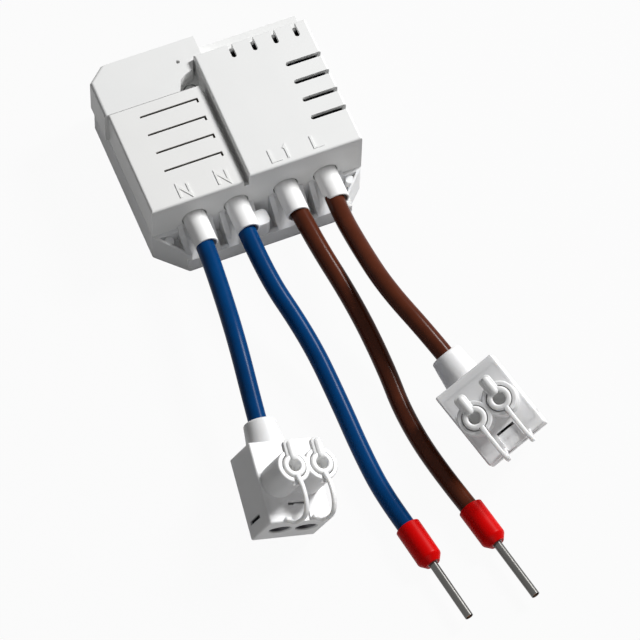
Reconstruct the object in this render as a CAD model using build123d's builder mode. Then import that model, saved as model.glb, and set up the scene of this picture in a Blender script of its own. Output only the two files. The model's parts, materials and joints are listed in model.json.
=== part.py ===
from build123d import *
import math
import os

os.makedirs("parts", exist_ok=True)

# Wireless power switch for a wall box: a flat case, four flying leads, two
# ferrules and two push-in connectors.
# Millimetres. +Z up, +Y towards the back of the case, the leads leave along -Y.
# The origin is the middle of the underside of the case.

# Case outline
case_half_width = 22.55
front_wall_y = -15.1
back_wall_y = 20.95
tray_front_y = -20.9
tray_corner = 5.8
back_corner_x = 3.3
back_corner_y = 3.0
corner_round = 0.8
wall = 1.2
floor_thickness = 1.2
seam_z = 8.0

# Cover levels
raised_top_z = 18.9
panel_top_z = 17.3
panel_thickness = 1.6
shelf_top_z = 12.0
raised_left_x = -1.75
raised_back_y = 15.45
shelf_left_x = 0.25
block_inset = 0.03
plate_overhang = 0.6
block_left_x = -case_half_width + block_inset
plate_left_x = -case_half_width - plate_overhang
plate_front_y = 9.4
plate_back_y = 20.8
groove_width = 1.03
groove_floor_z = 14.4
raised_edge_round = 0.5
plate_edge_round = 0.7
plate_corner_trim = 0.1
panel_gap = 0.1
panel_clip_length = 2.4
panel_clip_thickness = 0.8
panel_clip_width = 3.0
pick_margin = 0.1
inner_roof = 1.2

# Openings in the cover
slot_pitch = 4.5
first_slot_y = -6.95
slot_count = 4
right_slot_length = 7.8
right_slot_start_x = case_half_width - right_slot_length
slot_width = 1.05
slot_over_edge = 2.0
back_slot_first_x = 5.95
back_slot_end_margin = 2.89
back_slot_pitch = (case_half_width - back_slot_end_margin - back_slot_first_x) / (slot_count - 1)
back_slot_start_y = 12.0
louvre_side_margin = 5.85
louvre_inner_margin = 2.53
louvre_from_x = -case_half_width + louvre_side_margin
louvre_to_x = raised_left_x - louvre_inner_margin
louvre_width = 0.45
louvre_return = 0.9
pinhole_x = -4.85
pinhole_y = 16.1
pinhole_radius = 0.4
notch_points = [
    (raised_left_x, 15.6),
    (-2.55, 13.6),
    (-3.05, 13.3),
    (-4.65, 12.7),
    (-5.85, 11.9),
    (-6.65, 10.3),
    (-7.1, plate_front_y),
]
notch_cup_points = [
    (raised_left_x, 17.2),
    (-3.6, 14.5),
    (-5.3, 13.7),
    (-6.8, 12.5),
    (-7.7, 10.6),
    (-8.2, plate_front_y),
]
notch_floor_z = 13.2

# Raised marks beside the leads
mark_height = 2.9
mark_width = 2.1
mark_stroke = 0.42
mark_rise = 0.15
mark_n_places = [(-14.65, -12.5), (-6.45, -12.4)]
mark_l_places = [(4.9, -12.35), (13.95, -12.25)]
mark_one_place = (7.3, -12.5)
n_shares = [(-0.5, -0.5), (-0.5, 0.5), (0.5, -0.5), (0.5, 0.5)]
l_shares = [(-0.5, 0.5), (-0.5, -0.5), (0.5, -0.5)]
one_shares = [(-0.2, 0.35), (0.0, 0.5), (0.0, -0.5)]

# Lead tray in front of the case
tray_rim_front_z = 6.2
tray_lip_z = 4.2
tray_lip_thickness = 1.0
tray_bay_floor_z = 2.0
bay_side_margin = 6.35
bay_half_width = case_half_width - bay_side_margin
rib_thickness = 1.0
rib_wall_z = 9.0
rib_knee_y = -19.4
rib_knee_z = 5.0
saddle_wall_z = 7.2
pocket_rim = 0.65
pocket_width = 5.25
pocket_inner_x = case_half_width - pocket_width
pocket_floor_z = 5.0
pip_side_margin = 3.05
pip_x = case_half_width - pip_side_margin
pip_y = -16.7
pip_radius = 0.9
pip_top_z = 7.3
tab_x = -0.75
tab_round = 1.05
tab_y = -18.95
tab_width = 3.2
tab_length = 3.5
tab_top_z = 8.4

# Lead sleeves
first_sleeve_margin = 9.05
last_sleeve_margin = 7.85
sleeve_x = [-case_half_width + first_sleeve_margin, -4.55, 6.1, case_half_width - last_sleeve_margin]
sleeve_z = 10.3
sleeve_radius = 2.4
sleeve_bore_radius = 2.05
sleeve_end_y = -22.1
sleeve_hole_clearance = 0.25
sleeve_flange_radius = 3.0
sleeve_flange_thickness = 1.0

# Leads
lead_radius = 1.9
core_radius = 0.65
lead_start_y = -12.4
lead_arc_share = 0.45
neutral_short_exit_y = -23.1
neutral_short_bends = [(-15.75, -33.7, 11.0), (-17.0, -46.0, 11.6)]
neutral_short_approach = 3.2
neutral_long_exit_y = -29.8
neutral_long_bends = [(-1.4, -47.2, 6.45), (0.95, -60.5, 3.9), (0.25, -74.2, 2.9)]
neutral_long_approach = 7.0
switched_long_exit_y = -26.5
switched_long_bends = [(9.3, -43.5, 7.0), (10.5, -57.5, 4.3), (10.5, -68.5, 3.0)]
switched_long_approach = 10.2
line_short_exit_y = -23.5
line_short_bends = [(14.3, -34.5, 11.6), (15.2, -46.0, 13.2)]
line_short_approach = 4.2

# Circuit board and what stands on it
board_side_gap = 0.45
board_half_width = case_half_width - wall - board_side_gap
board_front_y = -13.3
board_back_y = 19.2
board_bottom_z = 4.0
board_thickness = 1.6
board_top_z = board_bottom_z + board_thickness
standoff = 0.3
part_bottom_z = board_top_z + standoff
post_radius = 1.8
post_inset = 2.1
post_x = board_half_width - post_inset
post_front_y = -10.5
post_back_y = 17.0
screw_radius = 0.8
screw_head_radius = 1.7
screw_head_height = 1.2
screw_cross_half_width = 0.2
screw_cross_depth = 0.6
pin_radius = 0.4
pin_hole_radius = 0.45
pin_bottom_z = 3.0
tongue_depth = 1.4
tongue_thickness = 0.8
tongue_gap = 0.05
inner_side_x = case_half_width - wall - tongue_gap - tongue_thickness
part_side_gap = 0.3

# Learn push button
learn_x = -3.9
learn_y = 11.2
learn_body_size = 4.0
learn_body_top_z = 10.6
learn_chamber_radius = 1.85
learn_chamber_z = 8.6
learn_lip = 0.8
learn_flange_radius = 1.8
learn_flange_height = 0.6
learn_stem_radius = 1.4
learn_stem_clearance = 0.05
learn_stem_top_z = 13.1
learn_stem_edge = 0.3
learn_hole_radius = 1.6
learn_travel = 0.4

# Ferrules
collar_length = 9.2
collar_radius = 2.6
collar_shoulder = 1.3
collar_step = 1.04
collar_edge = 0.9
collar_mouth_radius = 1.95
collar_mouth_depth = 3.4
barrel_radius = 0.85
barrel_bore_radius = 0.7
barrel_length = 13.2
barrel_root = 4.6
barrel_root_radius = 1.05
lead_in_collar = 3.0
strand_tip_gap = 0.3
strand_overshoot = 0.6
ferrule_z = 2.7
neutral_collar_start = (1.2, -91.5)
neutral_tip = (4.8, -113.6)
switched_collar_start = (14.2, -92.1)
switched_tip = (18.4, -113.4)

# Push-in connectors, in their own frame: +Y to the lead, +Z up, origin at the
# middle of the underside
connector_half_width = 7.0
connector_front_length = 8.6
connector_back_length = 8.4
connector_height = 9.0
connector_round = 0.4
connector_wall = 1.2
cap_half_width = 6.2
cap_half_length = 6.6
cap_thickness = 1.2
boss_length = 6.0
boss_root_radius = 4.1
boss_root_x = -0.5
boss_mouth_radius = 3.2
boss_mouth_x = -0.3
boss_mouth_z = 3.4
boss_edge = 0.5
lead_entry_x = -0.3
lead_entry_z = 3.0
lead_entry_radius = 1.95
lead_end_gap = 0.2
tower_x = 3.04
tower_y = -0.14
tower_radius = 3.45
tower_top_z = 17.0
tower_round = 0.3
tower_guide_radius = 2.45
tower_mouth_radius = 2.6
tower_mouth_depth = 1.6
button_radius = 2.4
button_hole_radius = 1.25
button_hole_flare = 0.3
button_hole_depth = 3.0
button_bottom_z = 9.6
button_top_z = 17.4
button_edge = 0.4
tail_width = 2.3
tail_end_y = 5.5
tail_corner = 0.9
tail_bottom_z = 16.4
tail_top_z = 17.3
tail_groove_width = 0.9
tail_groove_depth = 0.5
tail_groove_margin = 0.7
tail_notch_gap = 0.15
release_travel = 1.6
strap_width = 0.9
strap_thickness = 0.8
strap_notch_width = 1.4
strap_points = [
    (-2.3, 17.15),
    (-4.2, 17.85),
    (-6.2, 18.05),
    (-8.05, 17.75),
    (-9.35, 17.0),
    (-10.1, 15.8),
    (-10.25, 14.0),
    (-9.8, 11.6),
    (-8.6, 9.5),
]
strap_foot_from_y = -8.5
strap_foot_to_y = -7.3
strap_foot_height = 0.6
strap_foot_width = 1.5
strap_cut_over = 1.6
cap_pocket_half_width = 2.1
cap_pocket_back_y = -5.1
cap_pocket_floor_z = 8.6
cap_slot_length = 0.5
cap_slot_margin = 0.1
entry_x = 2.9
entry_z = 4.8
entry_radius = 1.5
entry_funnel_half_width = 2.6
entry_funnel_depth = 0.9
entry_funnel_half_height = 1.6
test_slot_y = -5.6
test_slot_width = 0.8
test_slot_from_z = 1.6
test_slot_to_z = 5.8
contact_bar_half_width = 5.2
contact_bar_front_y = -3.6
contact_bar_back_y = 5.2
contact_bar_thickness = 0.8
contact_riser_half_width = 1.0
contact_riser_length = 2.0
strand_over_riser = 2.2
spring_leaf = 0.4
spring_width = 3.4
spring_bend = 0.7
spring_back_y = 5.0
spring_points = [(-3.4, 6.0), (-4.6, 3.4)]
spring_top_z = 6.9
spring_front_y = -3.0
connector_lead_end_y = 7.4

# Connector places: middle of the underside, then turns about Z, X and Y
left_connector_at = (-21.2, -76.09, 3.89)
left_connector_turns = (-6.9, 9.2, 22.1)
right_connector_at = (26.21, -74.97, 4.8)
right_connector_turns = (18.4, 15.4, -22.5)


# Shared helpers

def block(x_from, x_to, y_from, y_to, z_from, z_to, mode=Mode.ADD):
    """Box between the given limits on each axis."""
    middle = ((x_from + x_to) / 2, (y_from + y_to) / 2, (z_from + z_to) / 2)
    with Locations(middle):
        Box(x_to - x_from, y_to - y_from, z_to - z_from, mode=mode)


def upright_rod(x, y, radius, z_from, z_to, mode=Mode.ADD):
    """Round rod standing along Z."""
    with Locations((x, y, (z_from + z_to) / 2)):
        Cylinder(radius, z_to - z_from, mode=mode)


def lengthwise_rod(x, z, radius, y_from, y_to, mode=Mode.ADD):
    """Round rod lying along Y."""
    with Locations((x, (y_from + y_to) / 2, z)):
        Cylinder(radius, y_to - y_from, rotation=(90, 0, 0), mode=mode)


def save(part, label):
    """Give the piece its name and write its file."""
    part.label = label
    export_step(part, "parts/" + label + ".step")


def connector_place(at, turns):
    """Place of a connector from its underside point and its three turns."""
    about_z = Location((0, 0, 0), (0, 0, turns[0]))
    about_x = Location((0, 0, 0), (turns[1], 0, 0))
    about_y = Location((0, 0, 0), (0, turns[2], 0))
    return Location(at) * about_z * about_x * about_y


left_place = connector_place(left_connector_at, left_connector_turns)
right_place = connector_place(right_connector_at, right_connector_turns)


def point_on(place, x, y, z):
    """Point given in a connector's own frame, as a tuple in the shared frame."""
    spot = (place * Location((x, y, z))).position
    return (spot.X, spot.Y, spot.Z)


# Case

def base_outline(inset):
    """Outline points of the case proper, without the tray, moved in by the inset."""
    side = case_half_width - inset
    front = front_wall_y + inset
    back = back_wall_y - inset
    return [
        (-side, front),
        (side, front),
        (side, back),
        (-side + back_corner_x, back),
        (-side, back - back_corner_y),
    ]


def build_base_shell():
    """Lower shell with the lead tray in front."""
    corner_x = case_half_width - tray_corner
    with BuildPart() as base_shell:
        with BuildSketch():
            with BuildLine():
                Polyline(
                    (-case_half_width, front_wall_y),
                    (-corner_x, tray_front_y),
                    (corner_x, tray_front_y),
                    (case_half_width, front_wall_y),
                    (case_half_width, back_wall_y),
                    (-case_half_width + back_corner_x, back_wall_y),
                    (-case_half_width, back_wall_y - back_corner_y),
                    close=True,
                )
            make_face()
        extrude(amount=seam_z)
        fillet(base_shell.edges().filter_by(Axis.Z), corner_round)
        # top of the tray slopes down to the front
        with BuildSketch(Plane.YZ):
            with BuildLine():
                Polyline(
                    (front_wall_y, seam_z),
                    (tray_front_y, tray_rim_front_z),
                    (tray_front_y - wall, tray_rim_front_z),
                    (tray_front_y - wall, seam_z + wall),
                    (front_wall_y, seam_z + wall),
                    close=True,
                )
            make_face()
        extrude(amount=case_half_width + wall, both=True, mode=Mode.SUBTRACT)
        # open bays of the tray behind the low front lip
        block(-bay_half_width, bay_half_width, tray_front_y - wall, front_wall_y,
              tray_lip_z, seam_z + wall, mode=Mode.SUBTRACT)
        block(-bay_half_width, bay_half_width, tray_front_y + tray_lip_thickness, front_wall_y,
              tray_bay_floor_z, seam_z, mode=Mode.SUBTRACT)
        # ribs and saddle at each sleeve
        rib_offset = sleeve_radius + sleeve_hole_clearance + rib_thickness / 2
        for x in sleeve_x:
            for side in (-1, 1):
                with BuildSketch(Plane.YZ.offset(x + side * rib_offset)):
                    with BuildLine():
                        Polyline(
                            (front_wall_y, tray_bay_floor_z),
                            (front_wall_y, rib_wall_z),
                            (rib_knee_y, rib_knee_z),
                            (tray_front_y, tray_lip_z),
                            (tray_front_y, tray_bay_floor_z),
                            close=True,
                        )
                    make_face()
                extrude(amount=rib_thickness / 2, both=True)
            with BuildSketch(Plane.YZ.offset(x)):
                with BuildLine():
                    Polyline(
                        (front_wall_y, tray_bay_floor_z),
                        (front_wall_y, saddle_wall_z),
                        (tray_front_y, tray_lip_z),
                        (tray_front_y, tray_bay_floor_z),
                        close=True,
                    )
                make_face()
            extrude(amount=rib_offset, both=True)
        # pockets in the two tray corners, each with a round pip
        for side in (-1, 1):
            outer = case_half_width - pocket_rim
            pocket_back = front_wall_y - pocket_rim
            pocket_front = pocket_back - (outer - pocket_inner_x) + pocket_rim
            with BuildSketch(Plane.XY.offset(pocket_floor_z)):
                with BuildLine():
                    Polyline(
                        (side * (outer - pocket_rim), pocket_back),
                        (side * pocket_inner_x, pocket_back),
                        (side * pocket_inner_x, pocket_front),
                        close=True,
                    )
                make_face()
            extrude(amount=seam_z, mode=Mode.SUBTRACT)
            upright_rod(side * pip_x, pip_y, pip_radius, pocket_floor_z, pip_top_z)
        # rounded tab between the second and third sleeves
        with BuildSketch(Plane.XY.offset(tray_bay_floor_z)):
            with Locations((tab_x, tab_y)):
                RectangleRounded(tab_width, tab_length, tab_round)
        extrude(amount=tab_top_z - tray_bay_floor_z)
        # hollow for the board
        with BuildSketch(Plane.XY.offset(floor_thickness)):
            with BuildLine():
                Polyline(*base_outline(wall), close=True)
            make_face()
        extrude(amount=seam_z, mode=Mode.SUBTRACT)
        # posts under the board
        for x in (-post_x, post_x):
            upright_rod(x, post_front_y, post_radius, floor_thickness, board_bottom_z)
            upright_rod(x, post_back_y, post_radius, floor_thickness, board_bottom_z)
            upright_rod(x, post_front_y, screw_radius, floor_thickness, board_bottom_z, mode=Mode.SUBTRACT)
        # round passages of the sleeves
        for x in sleeve_x:
            lengthwise_rod(x, sleeve_z, sleeve_radius + sleeve_hole_clearance,
                           front_wall_y, front_wall_y + wall, mode=Mode.SUBTRACT)
    save(base_shell.part, "base_shell")


def draw_marks(places, points):
    """Stroke letters from their corner points, in shares of the mark size."""
    for place in places:
        corners = []
        for share in points:
            corners.append((place[0] + share[0] * mark_width, place[1] + share[1] * mark_height))
        with BuildLine() as stroke:
            Polyline(*corners)
        trace(stroke.line.edges(), line_width=mark_stroke)


def build_cover_shell():
    """Upper shell: raised block, back plate, low shelf and the walls under the louvre panel."""
    panel_ledge_z = panel_top_z - panel_thickness
    roof_low_z = shelf_top_z - inner_roof
    groove_left_x = raised_left_x - groove_width
    web_bottom_z = groove_floor_z - inner_roof
    with BuildPart() as cover_shell:
        block(raised_left_x, case_half_width, front_wall_y, raised_back_y, seam_z, raised_top_z)
        fillet(cover_shell.faces().sort_by(Axis.Z)[-1].edges(), raised_edge_round)
        # walls under the louvre panel
        block(block_left_x, raised_left_x + wall, front_wall_y, plate_front_y, seam_z, panel_ledge_z)
        # back plate with its cut corner
        with BuildSketch(Plane.XY.offset(seam_z)):
            with BuildLine():
                Polyline(
                    (plate_left_x, plate_front_y),
                    (raised_left_x, plate_front_y),
                    (raised_left_x, raised_back_y - wall),
                    (shelf_left_x, raised_back_y - wall),
                    (shelf_left_x, plate_back_y),
                    (plate_left_x + back_corner_x, plate_back_y),
                    (plate_left_x, plate_back_y - back_corner_y + plate_corner_trim),
                    close=True,
                )
            make_face()
        extrude(amount=panel_top_z - seam_z)
        rim = cover_shell.edges().filter_by_position(Axis.Z, panel_top_z, panel_top_z)
        corner_to_x = plate_left_x + back_corner_x + pick_margin
        outer_rim = rim.filter_by_position(Axis.X, plate_left_x - pick_margin, corner_to_x)
        outer_rim = outer_rim.filter_by_position(Axis.Y, plate_front_y + pick_margin, plate_back_y)
        fillet(outer_rim, plate_edge_round)
        # low shelf behind the raised block
        block(shelf_left_x, case_half_width, raised_back_y - wall, back_wall_y, seam_z, shelf_top_z)
        # hollow inside, level by level
        with BuildSketch(Plane.XY.offset(seam_z)):
            with BuildLine():
                Polyline(*base_outline(wall), close=True)
            make_face()
        extrude(amount=roof_low_z - seam_z, mode=Mode.SUBTRACT)
        inner_left = -case_half_width + wall
        inner_front = front_wall_y + wall
        raised_inner_x = raised_left_x + wall
        block(inner_left, raised_inner_x, inner_front, plate_front_y - wall,
              roof_low_z, web_bottom_z, mode=Mode.SUBTRACT)
        block(inner_left, groove_left_x - wall / 2, inner_front, plate_front_y - wall,
              web_bottom_z, panel_ledge_z, mode=Mode.SUBTRACT)
        block(groove_left_x, raised_left_x, front_wall_y + wall / 2, plate_front_y,
              groove_floor_z, raised_top_z, mode=Mode.SUBTRACT)
        plate_inner_back = plate_back_y - wall
        with BuildSketch(Plane.XY.offset(roof_low_z)):
            with BuildLine():
                Polyline(
                    (inner_left, plate_front_y + wall),
                    (raised_left_x, plate_front_y + wall),
                    (raised_left_x, plate_inner_back),
                    (inner_left + back_corner_x, plate_inner_back),
                    (inner_left, plate_inner_back - back_corner_y),
                    close=True,
                )
            make_face()
        extrude(amount=panel_top_z - inner_roof - roof_low_z, mode=Mode.SUBTRACT)
        block(raised_inner_x, case_half_width - wall, inner_front, raised_back_y - wall,
              roof_low_z, raised_top_z - inner_roof, mode=Mode.SUBTRACT)
        # recess with a hole that gives a way to the learn button
        cup_bottom_z = notch_floor_z - inner_roof
        with BuildSketch(Plane.XY.offset(cup_bottom_z)):
            with BuildLine():
                Polyline(*notch_cup_points, (raised_left_x, plate_front_y), close=True)
            make_face()
        extrude(amount=panel_top_z - inner_roof / 2 - cup_bottom_z)
        with BuildSketch(Plane.XY.offset(notch_floor_z)):
            with BuildLine():
                Polyline(*notch_points, (raised_left_x, plate_front_y), close=True)
            make_face()
        extrude(amount=raised_top_z, mode=Mode.SUBTRACT)
        upright_rod(learn_x, learn_y, learn_hole_radius, roof_low_z, notch_floor_z, mode=Mode.SUBTRACT)
        # pinhole over the status light
        upright_rod(pinhole_x, pinhole_y, pinhole_radius, roof_low_z, raised_top_z, mode=Mode.SUBTRACT)
        # air slots that run over the right edge and over the back edge
        for index in range(slot_count):
            y = first_slot_y + index * slot_pitch
            x = back_slot_first_x + index * back_slot_pitch
            slot_start_x = right_slot_start_x + slot_width / 2
            slot_start_y = back_slot_start_y + slot_width / 2
            slot_bottom = raised_top_z - slot_over_edge
            upright_rod(slot_start_x, y, slot_width / 2, slot_bottom, raised_top_z, mode=Mode.SUBTRACT)
            block(slot_start_x, case_half_width, y - slot_width / 2, y + slot_width / 2,
                  slot_bottom, raised_top_z, mode=Mode.SUBTRACT)
            upright_rod(x, slot_start_y, slot_width / 2, slot_bottom, raised_top_z, mode=Mode.SUBTRACT)
            block(x - slot_width / 2, x + slot_width / 2, slot_start_y, raised_back_y,
                  slot_bottom, raised_top_z, mode=Mode.SUBTRACT)
        # raised marks of the two leads on the block
        with BuildSketch(Plane.XY.offset(raised_top_z)):
            draw_marks(mark_l_places, l_shares)
            draw_marks([mark_one_place], one_shares)
        extrude(amount=mark_rise)
        # round passages of the sleeves
        for x in sleeve_x:
            lengthwise_rod(x, sleeve_z, sleeve_radius + sleeve_hole_clearance,
                           front_wall_y, front_wall_y + wall, mode=Mode.SUBTRACT)
        # tongues that locate the cover in the base
        tongue_x = case_half_width - wall - tongue_gap
        tongue_back = back_wall_y - wall - tongue_gap
        for side in (-1, 1):
            near = side * (tongue_x - tongue_thickness)
            far = side * tongue_x
            block(min(near, far), max(near, far), post_front_y, post_back_y - wall,
                  seam_z - tongue_depth, roof_low_z - wall)
        block(-post_x + wall, post_x, tongue_back - tongue_thickness, tongue_back,
              seam_z - tongue_depth, seam_z)
        for side in (-1, 1):
            near = side * (tongue_x - tongue_thickness)
            far = side * (tongue_x + tongue_gap)
            block(min(near, far), max(near, far), post_front_y, post_back_y - wall,
                  seam_z, roof_low_z - wall)
        block(-post_x + wall, post_x, tongue_back - tongue_thickness, tongue_back + tongue_gap,
              seam_z, roof_low_z - wall)
    save(cover_shell.part, "cover_shell")


def build_louvre_panel():
    """Plate with four louvres over the left half of the case."""
    panel_bottom_z = panel_top_z - panel_thickness
    groove_left_x = raised_left_x - groove_width
    with BuildPart() as louvre_panel:
        block(block_left_x, groove_left_x, front_wall_y, plate_front_y - panel_gap,
              panel_bottom_z, panel_top_z)
        outer = louvre_panel.faces().sort_by(Axis.Z)[-1].edges()
        front_edge = outer.sort_by(Axis.Y)[0]
        left_edge = outer.sort_by(Axis.X)[0]
        fillet([front_edge, left_edge], raised_edge_round)
        for index in range(slot_count):
            y = first_slot_y + index * slot_pitch
            block(louvre_from_x, louvre_to_x, y - louvre_width / 2, y + louvre_width / 2,
                  panel_bottom_z, panel_top_z, mode=Mode.SUBTRACT)
            block(louvre_to_x - louvre_width, louvre_to_x, y - louvre_return, y,
                  panel_bottom_z, panel_top_z, mode=Mode.SUBTRACT)
        with BuildSketch(Plane.XY.offset(panel_top_z)):
            draw_marks(mark_n_places, n_shares)
        extrude(amount=mark_rise)
        # clips that hold the panel behind the left wall
        inner_left = -case_half_width + wall
        for y in (front_wall_y / 2, plate_front_y / 2):
            block(inner_left, inner_left + panel_clip_thickness, y - panel_clip_width / 2,
                  y + panel_clip_width / 2, panel_bottom_z - panel_clip_length, panel_bottom_z)
    save(louvre_panel.part, "louvre_panel")


def build_sleeves():
    """White sleeves that guide the leads out of the case."""
    inner_y = front_wall_y + wall
    for index in range(len(sleeve_x)):
        x = sleeve_x[index]
        with BuildPart() as sleeve:
            lengthwise_rod(x, sleeve_z, sleeve_radius, sleeve_end_y, inner_y)
            rim = sleeve.faces().sort_by(Axis.Y)[0].edges()
            fillet(rim, (sleeve_radius - sleeve_bore_radius) / 2)
            lengthwise_rod(x, sleeve_z, sleeve_flange_radius, inner_y, inner_y + sleeve_flange_thickness)
            lengthwise_rod(x, sleeve_z, sleeve_bore_radius, sleeve_end_y,
                           inner_y + sleeve_flange_thickness, mode=Mode.SUBTRACT)
        save(sleeve.part, "lead_sleeve_" + str(index + 1))


# Electronics

relay_size = (18.4, 10.2, 11.0)
relay_at = (inner_side_x - part_side_gap - relay_size[0] / 2, -1.5)
relay_corner = 0.6
relay_pin_inset_x = 1.6
relay_pin_inset_y = 1.3
film_size = (13.0, 4.8, 8.7)
film_at = (-inner_side_x + part_side_gap + film_size[0] / 2, -5.8)
film_corner = 0.4
film_pin_inset = 1.5
core_outer = (13.8, 11.0)
core_at = (-inner_side_x + part_side_gap + core_outer[0] / 2, 2.7)
core_from_z = 8.2
core_to_z = 12.2
core_leg = 1.6
core_middle_leg = 3.2
winding_size = (9.8, 7.6)
winding_from_z = 6.4
winding_to_z = 14.4
winding_hole_gap = 0.05
winding_corner = 0.8
winding_pin_inset = 0.7
foot_margin = 0.8
can_radius = 3.75
can_side_gap = 0.15
can_at = (-inner_side_x + can_side_gap + can_radius, 14.45)
can_pin_offset = 1.75
roof_gap = 0.5
can_top_z = panel_top_z - inner_roof - roof_gap
can_edge = 0.6
varistor_radius = 3.5
varistor_thickness = 2.6
varistor_side_gap = 0.2
varistor_at = (inner_side_x - varistor_side_gap - varistor_thickness / 2, 8.3)
varistor_edge = 0.7
varistor_pin_offset = 2.5
radio_size = (13.8, 12.4)
radio_side_gap = 0.9
radio_at = (varistor_at[0] - varistor_thickness / 2 - radio_side_gap - radio_size[0] / 2, 11.6)
radio_from_z = 8.4
radio_thickness = 0.8
header_half_length = 5.0
header_half_width = 1.0
header_inset = 1.3
header_edge = 0.4
shield_size = (10.6, 6.8, 2.2)
shield_at = (radio_at[0], 9.8)
shield_corner = 0.5
antenna_radius = 0.35
antenna_offset_x = 4.6
antenna_y = 18.45
antenna_past_can = 2.6
antenna_bend = 0.4
resistor_radius = 1.6
resistor_length = 8.0
resistor_gap = 0.8
resistor_at = (relay_at[0] - relay_size[0] / 2 - resistor_gap - resistor_radius, -2.0)
resistor_edge = 0.5
chip_size = (4.4, 4.4, 1.2)
chip_gap = 0.6
chip_at = (relay_at[0] - relay_size[0] / 2 - chip_gap - chip_size[0] / 2, 6.0)
chip_edge = 0.2
terminal_width = 3.2
terminal_front_y = -10.2
terminal_thickness = 1.0
terminal_top_z = 12.4
terminal_hole_gap = 0.05
led_radius = 1.0
led_from_z = 10.6
led_top_z = panel_top_z - inner_roof - roof_gap
led_dome = 0.9
led_leg_radius = 0.25
led_leg_offset = 0.6


def pin_places():
    """Places of the round pins that go through the board."""
    places = []
    for side_x in (-1, 1):
        for side_y in (-1, 1):
            places.append((relay_at[0] + side_x * (relay_size[0] / 2 - relay_pin_inset_x),
                           relay_at[1] + side_y * (relay_size[1] / 2 - relay_pin_inset_y)))
            places.append((core_at[0] + side_x * (winding_size[0] / 2 - winding_pin_inset),
                           core_at[1] + side_y * (winding_size[1] / 2 - winding_pin_inset)))
        places.append((film_at[0] + side_x * (film_size[0] / 2 - film_pin_inset), film_at[1]))
        places.append((can_at[0] + side_x * can_pin_offset, can_at[1]))
        places.append((varistor_at[0], varistor_at[1] + side_x * varistor_pin_offset))
    return places


def build_board():
    """Circuit board with its holes."""
    side = board_half_width
    with BuildPart() as circuit_board:
        with BuildSketch(Plane.XY.offset(board_bottom_z)):
            with BuildLine():
                Polyline(
                    (-side, board_front_y),
                    (side, board_front_y),
                    (side, board_back_y),
                    (-side + back_corner_x, board_back_y),
                    (-side, board_back_y - back_corner_y),
                    close=True,
                )
            make_face()
        extrude(amount=board_thickness)
        for x in (-post_x, post_x):
            upright_rod(x, post_front_y, screw_radius, board_bottom_z, board_top_z, mode=Mode.SUBTRACT)
        for place in pin_places():
            upright_rod(place[0], place[1], pin_hole_radius, board_bottom_z, board_top_z, mode=Mode.SUBTRACT)
    save(circuit_board.part, "circuit_board")


def build_board_screws():
    """Two screws that hold the board on its front posts."""
    head_top_z = board_top_z + screw_head_height
    with BuildPart() as board_screws:
        for x in (-post_x, post_x):
            upright_rod(x, post_front_y, screw_head_radius, board_top_z, head_top_z)
            upright_rod(x, post_front_y, screw_radius, floor_thickness, board_top_z)
            block(x - screw_radius, x + screw_radius, post_front_y - screw_cross_half_width,
                  post_front_y + screw_cross_half_width, head_top_z - screw_cross_depth, head_top_z,
                  mode=Mode.SUBTRACT)
            block(x - screw_cross_half_width, x + screw_cross_half_width, post_front_y - screw_radius,
                  post_front_y + screw_radius, head_top_z - screw_cross_depth, head_top_z,
                  mode=Mode.SUBTRACT)
    save(board_screws.part, "board_screws")


def build_component_pins():
    """Round pins of the parts that are soldered through the board."""
    with BuildPart() as component_pins:
        for place in pin_places():
            upright_rod(place[0], place[1], pin_radius, pin_bottom_z, part_bottom_z)
    save(component_pins.part, "component_pins")


def build_relay():
    """Switching relay."""
    with BuildPart() as relay_case:
        with Locations((relay_at[0], relay_at[1], part_bottom_z + relay_size[2] / 2)):
            Box(*relay_size)
        fillet(relay_case.edges().filter_by(Axis.Z), relay_corner)
    save(relay_case.part, "relay_case")


def build_film_capacitor():
    """Boxed film capacitor."""
    with BuildPart() as film_capacitor:
        with Locations((film_at[0], film_at[1], part_bottom_z + film_size[2] / 2)):
            Box(*film_size)
        fillet(film_capacitor.edges().filter_by(Axis.Z), film_corner)
    save(film_capacitor.part, "film_capacitor")


def build_transformer():
    """Small supply transformer: core, taped winding and bobbin foot."""
    core_height = core_to_z - core_from_z
    core_middle = (core_from_z + core_to_z) / 2
    with BuildPart() as transformer_core:
        with Locations((core_at[0], core_at[1], core_middle)):
            Box(core_outer[0], core_outer[1], core_height)
        window_length = core_outer[0] - 2 * core_leg
        window_width = (core_outer[1] - 2 * core_leg - core_middle_leg) / 2
        window_offset = (core_middle_leg + window_width) / 2
        with Locations((core_at[0], core_at[1] - window_offset, core_middle),
                       (core_at[0], core_at[1] + window_offset, core_middle)):
            Box(window_length, window_width, core_height, mode=Mode.SUBTRACT)
    save(transformer_core.part, "transformer_core")
    winding_height = winding_to_z - winding_from_z
    with BuildPart() as transformer_winding:
        with Locations((core_at[0], core_at[1], winding_from_z + winding_height / 2)):
            Box(winding_size[0], winding_size[1], winding_height)
        fillet(transformer_winding.edges().filter_by(Axis.X), winding_corner)
        with Locations((core_at[0], core_at[1], core_middle)):
            Box(winding_size[0], core_middle_leg + 2 * winding_hole_gap,
                core_height + 2 * winding_hole_gap, mode=Mode.SUBTRACT)
    save(transformer_winding.part, "transformer_winding")
    foot_height = winding_from_z - part_bottom_z
    with BuildPart() as transformer_foot:
        with Locations((core_at[0], core_at[1], part_bottom_z + foot_height / 2)):
            Box(winding_size[0] + 2 * foot_margin, winding_size[1] + 2 * foot_margin, foot_height)
    save(transformer_foot.part, "transformer_foot")


def build_can_capacitor():
    """Round can capacitor with rolled edge."""
    with BuildPart() as can_capacitor:
        upright_rod(can_at[0], can_at[1], can_radius, part_bottom_z, can_top_z)
        fillet(can_capacitor.faces().sort_by(Axis.Z)[-1].edges(), can_edge)
    save(can_capacitor.part, "can_capacitor")


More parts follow.
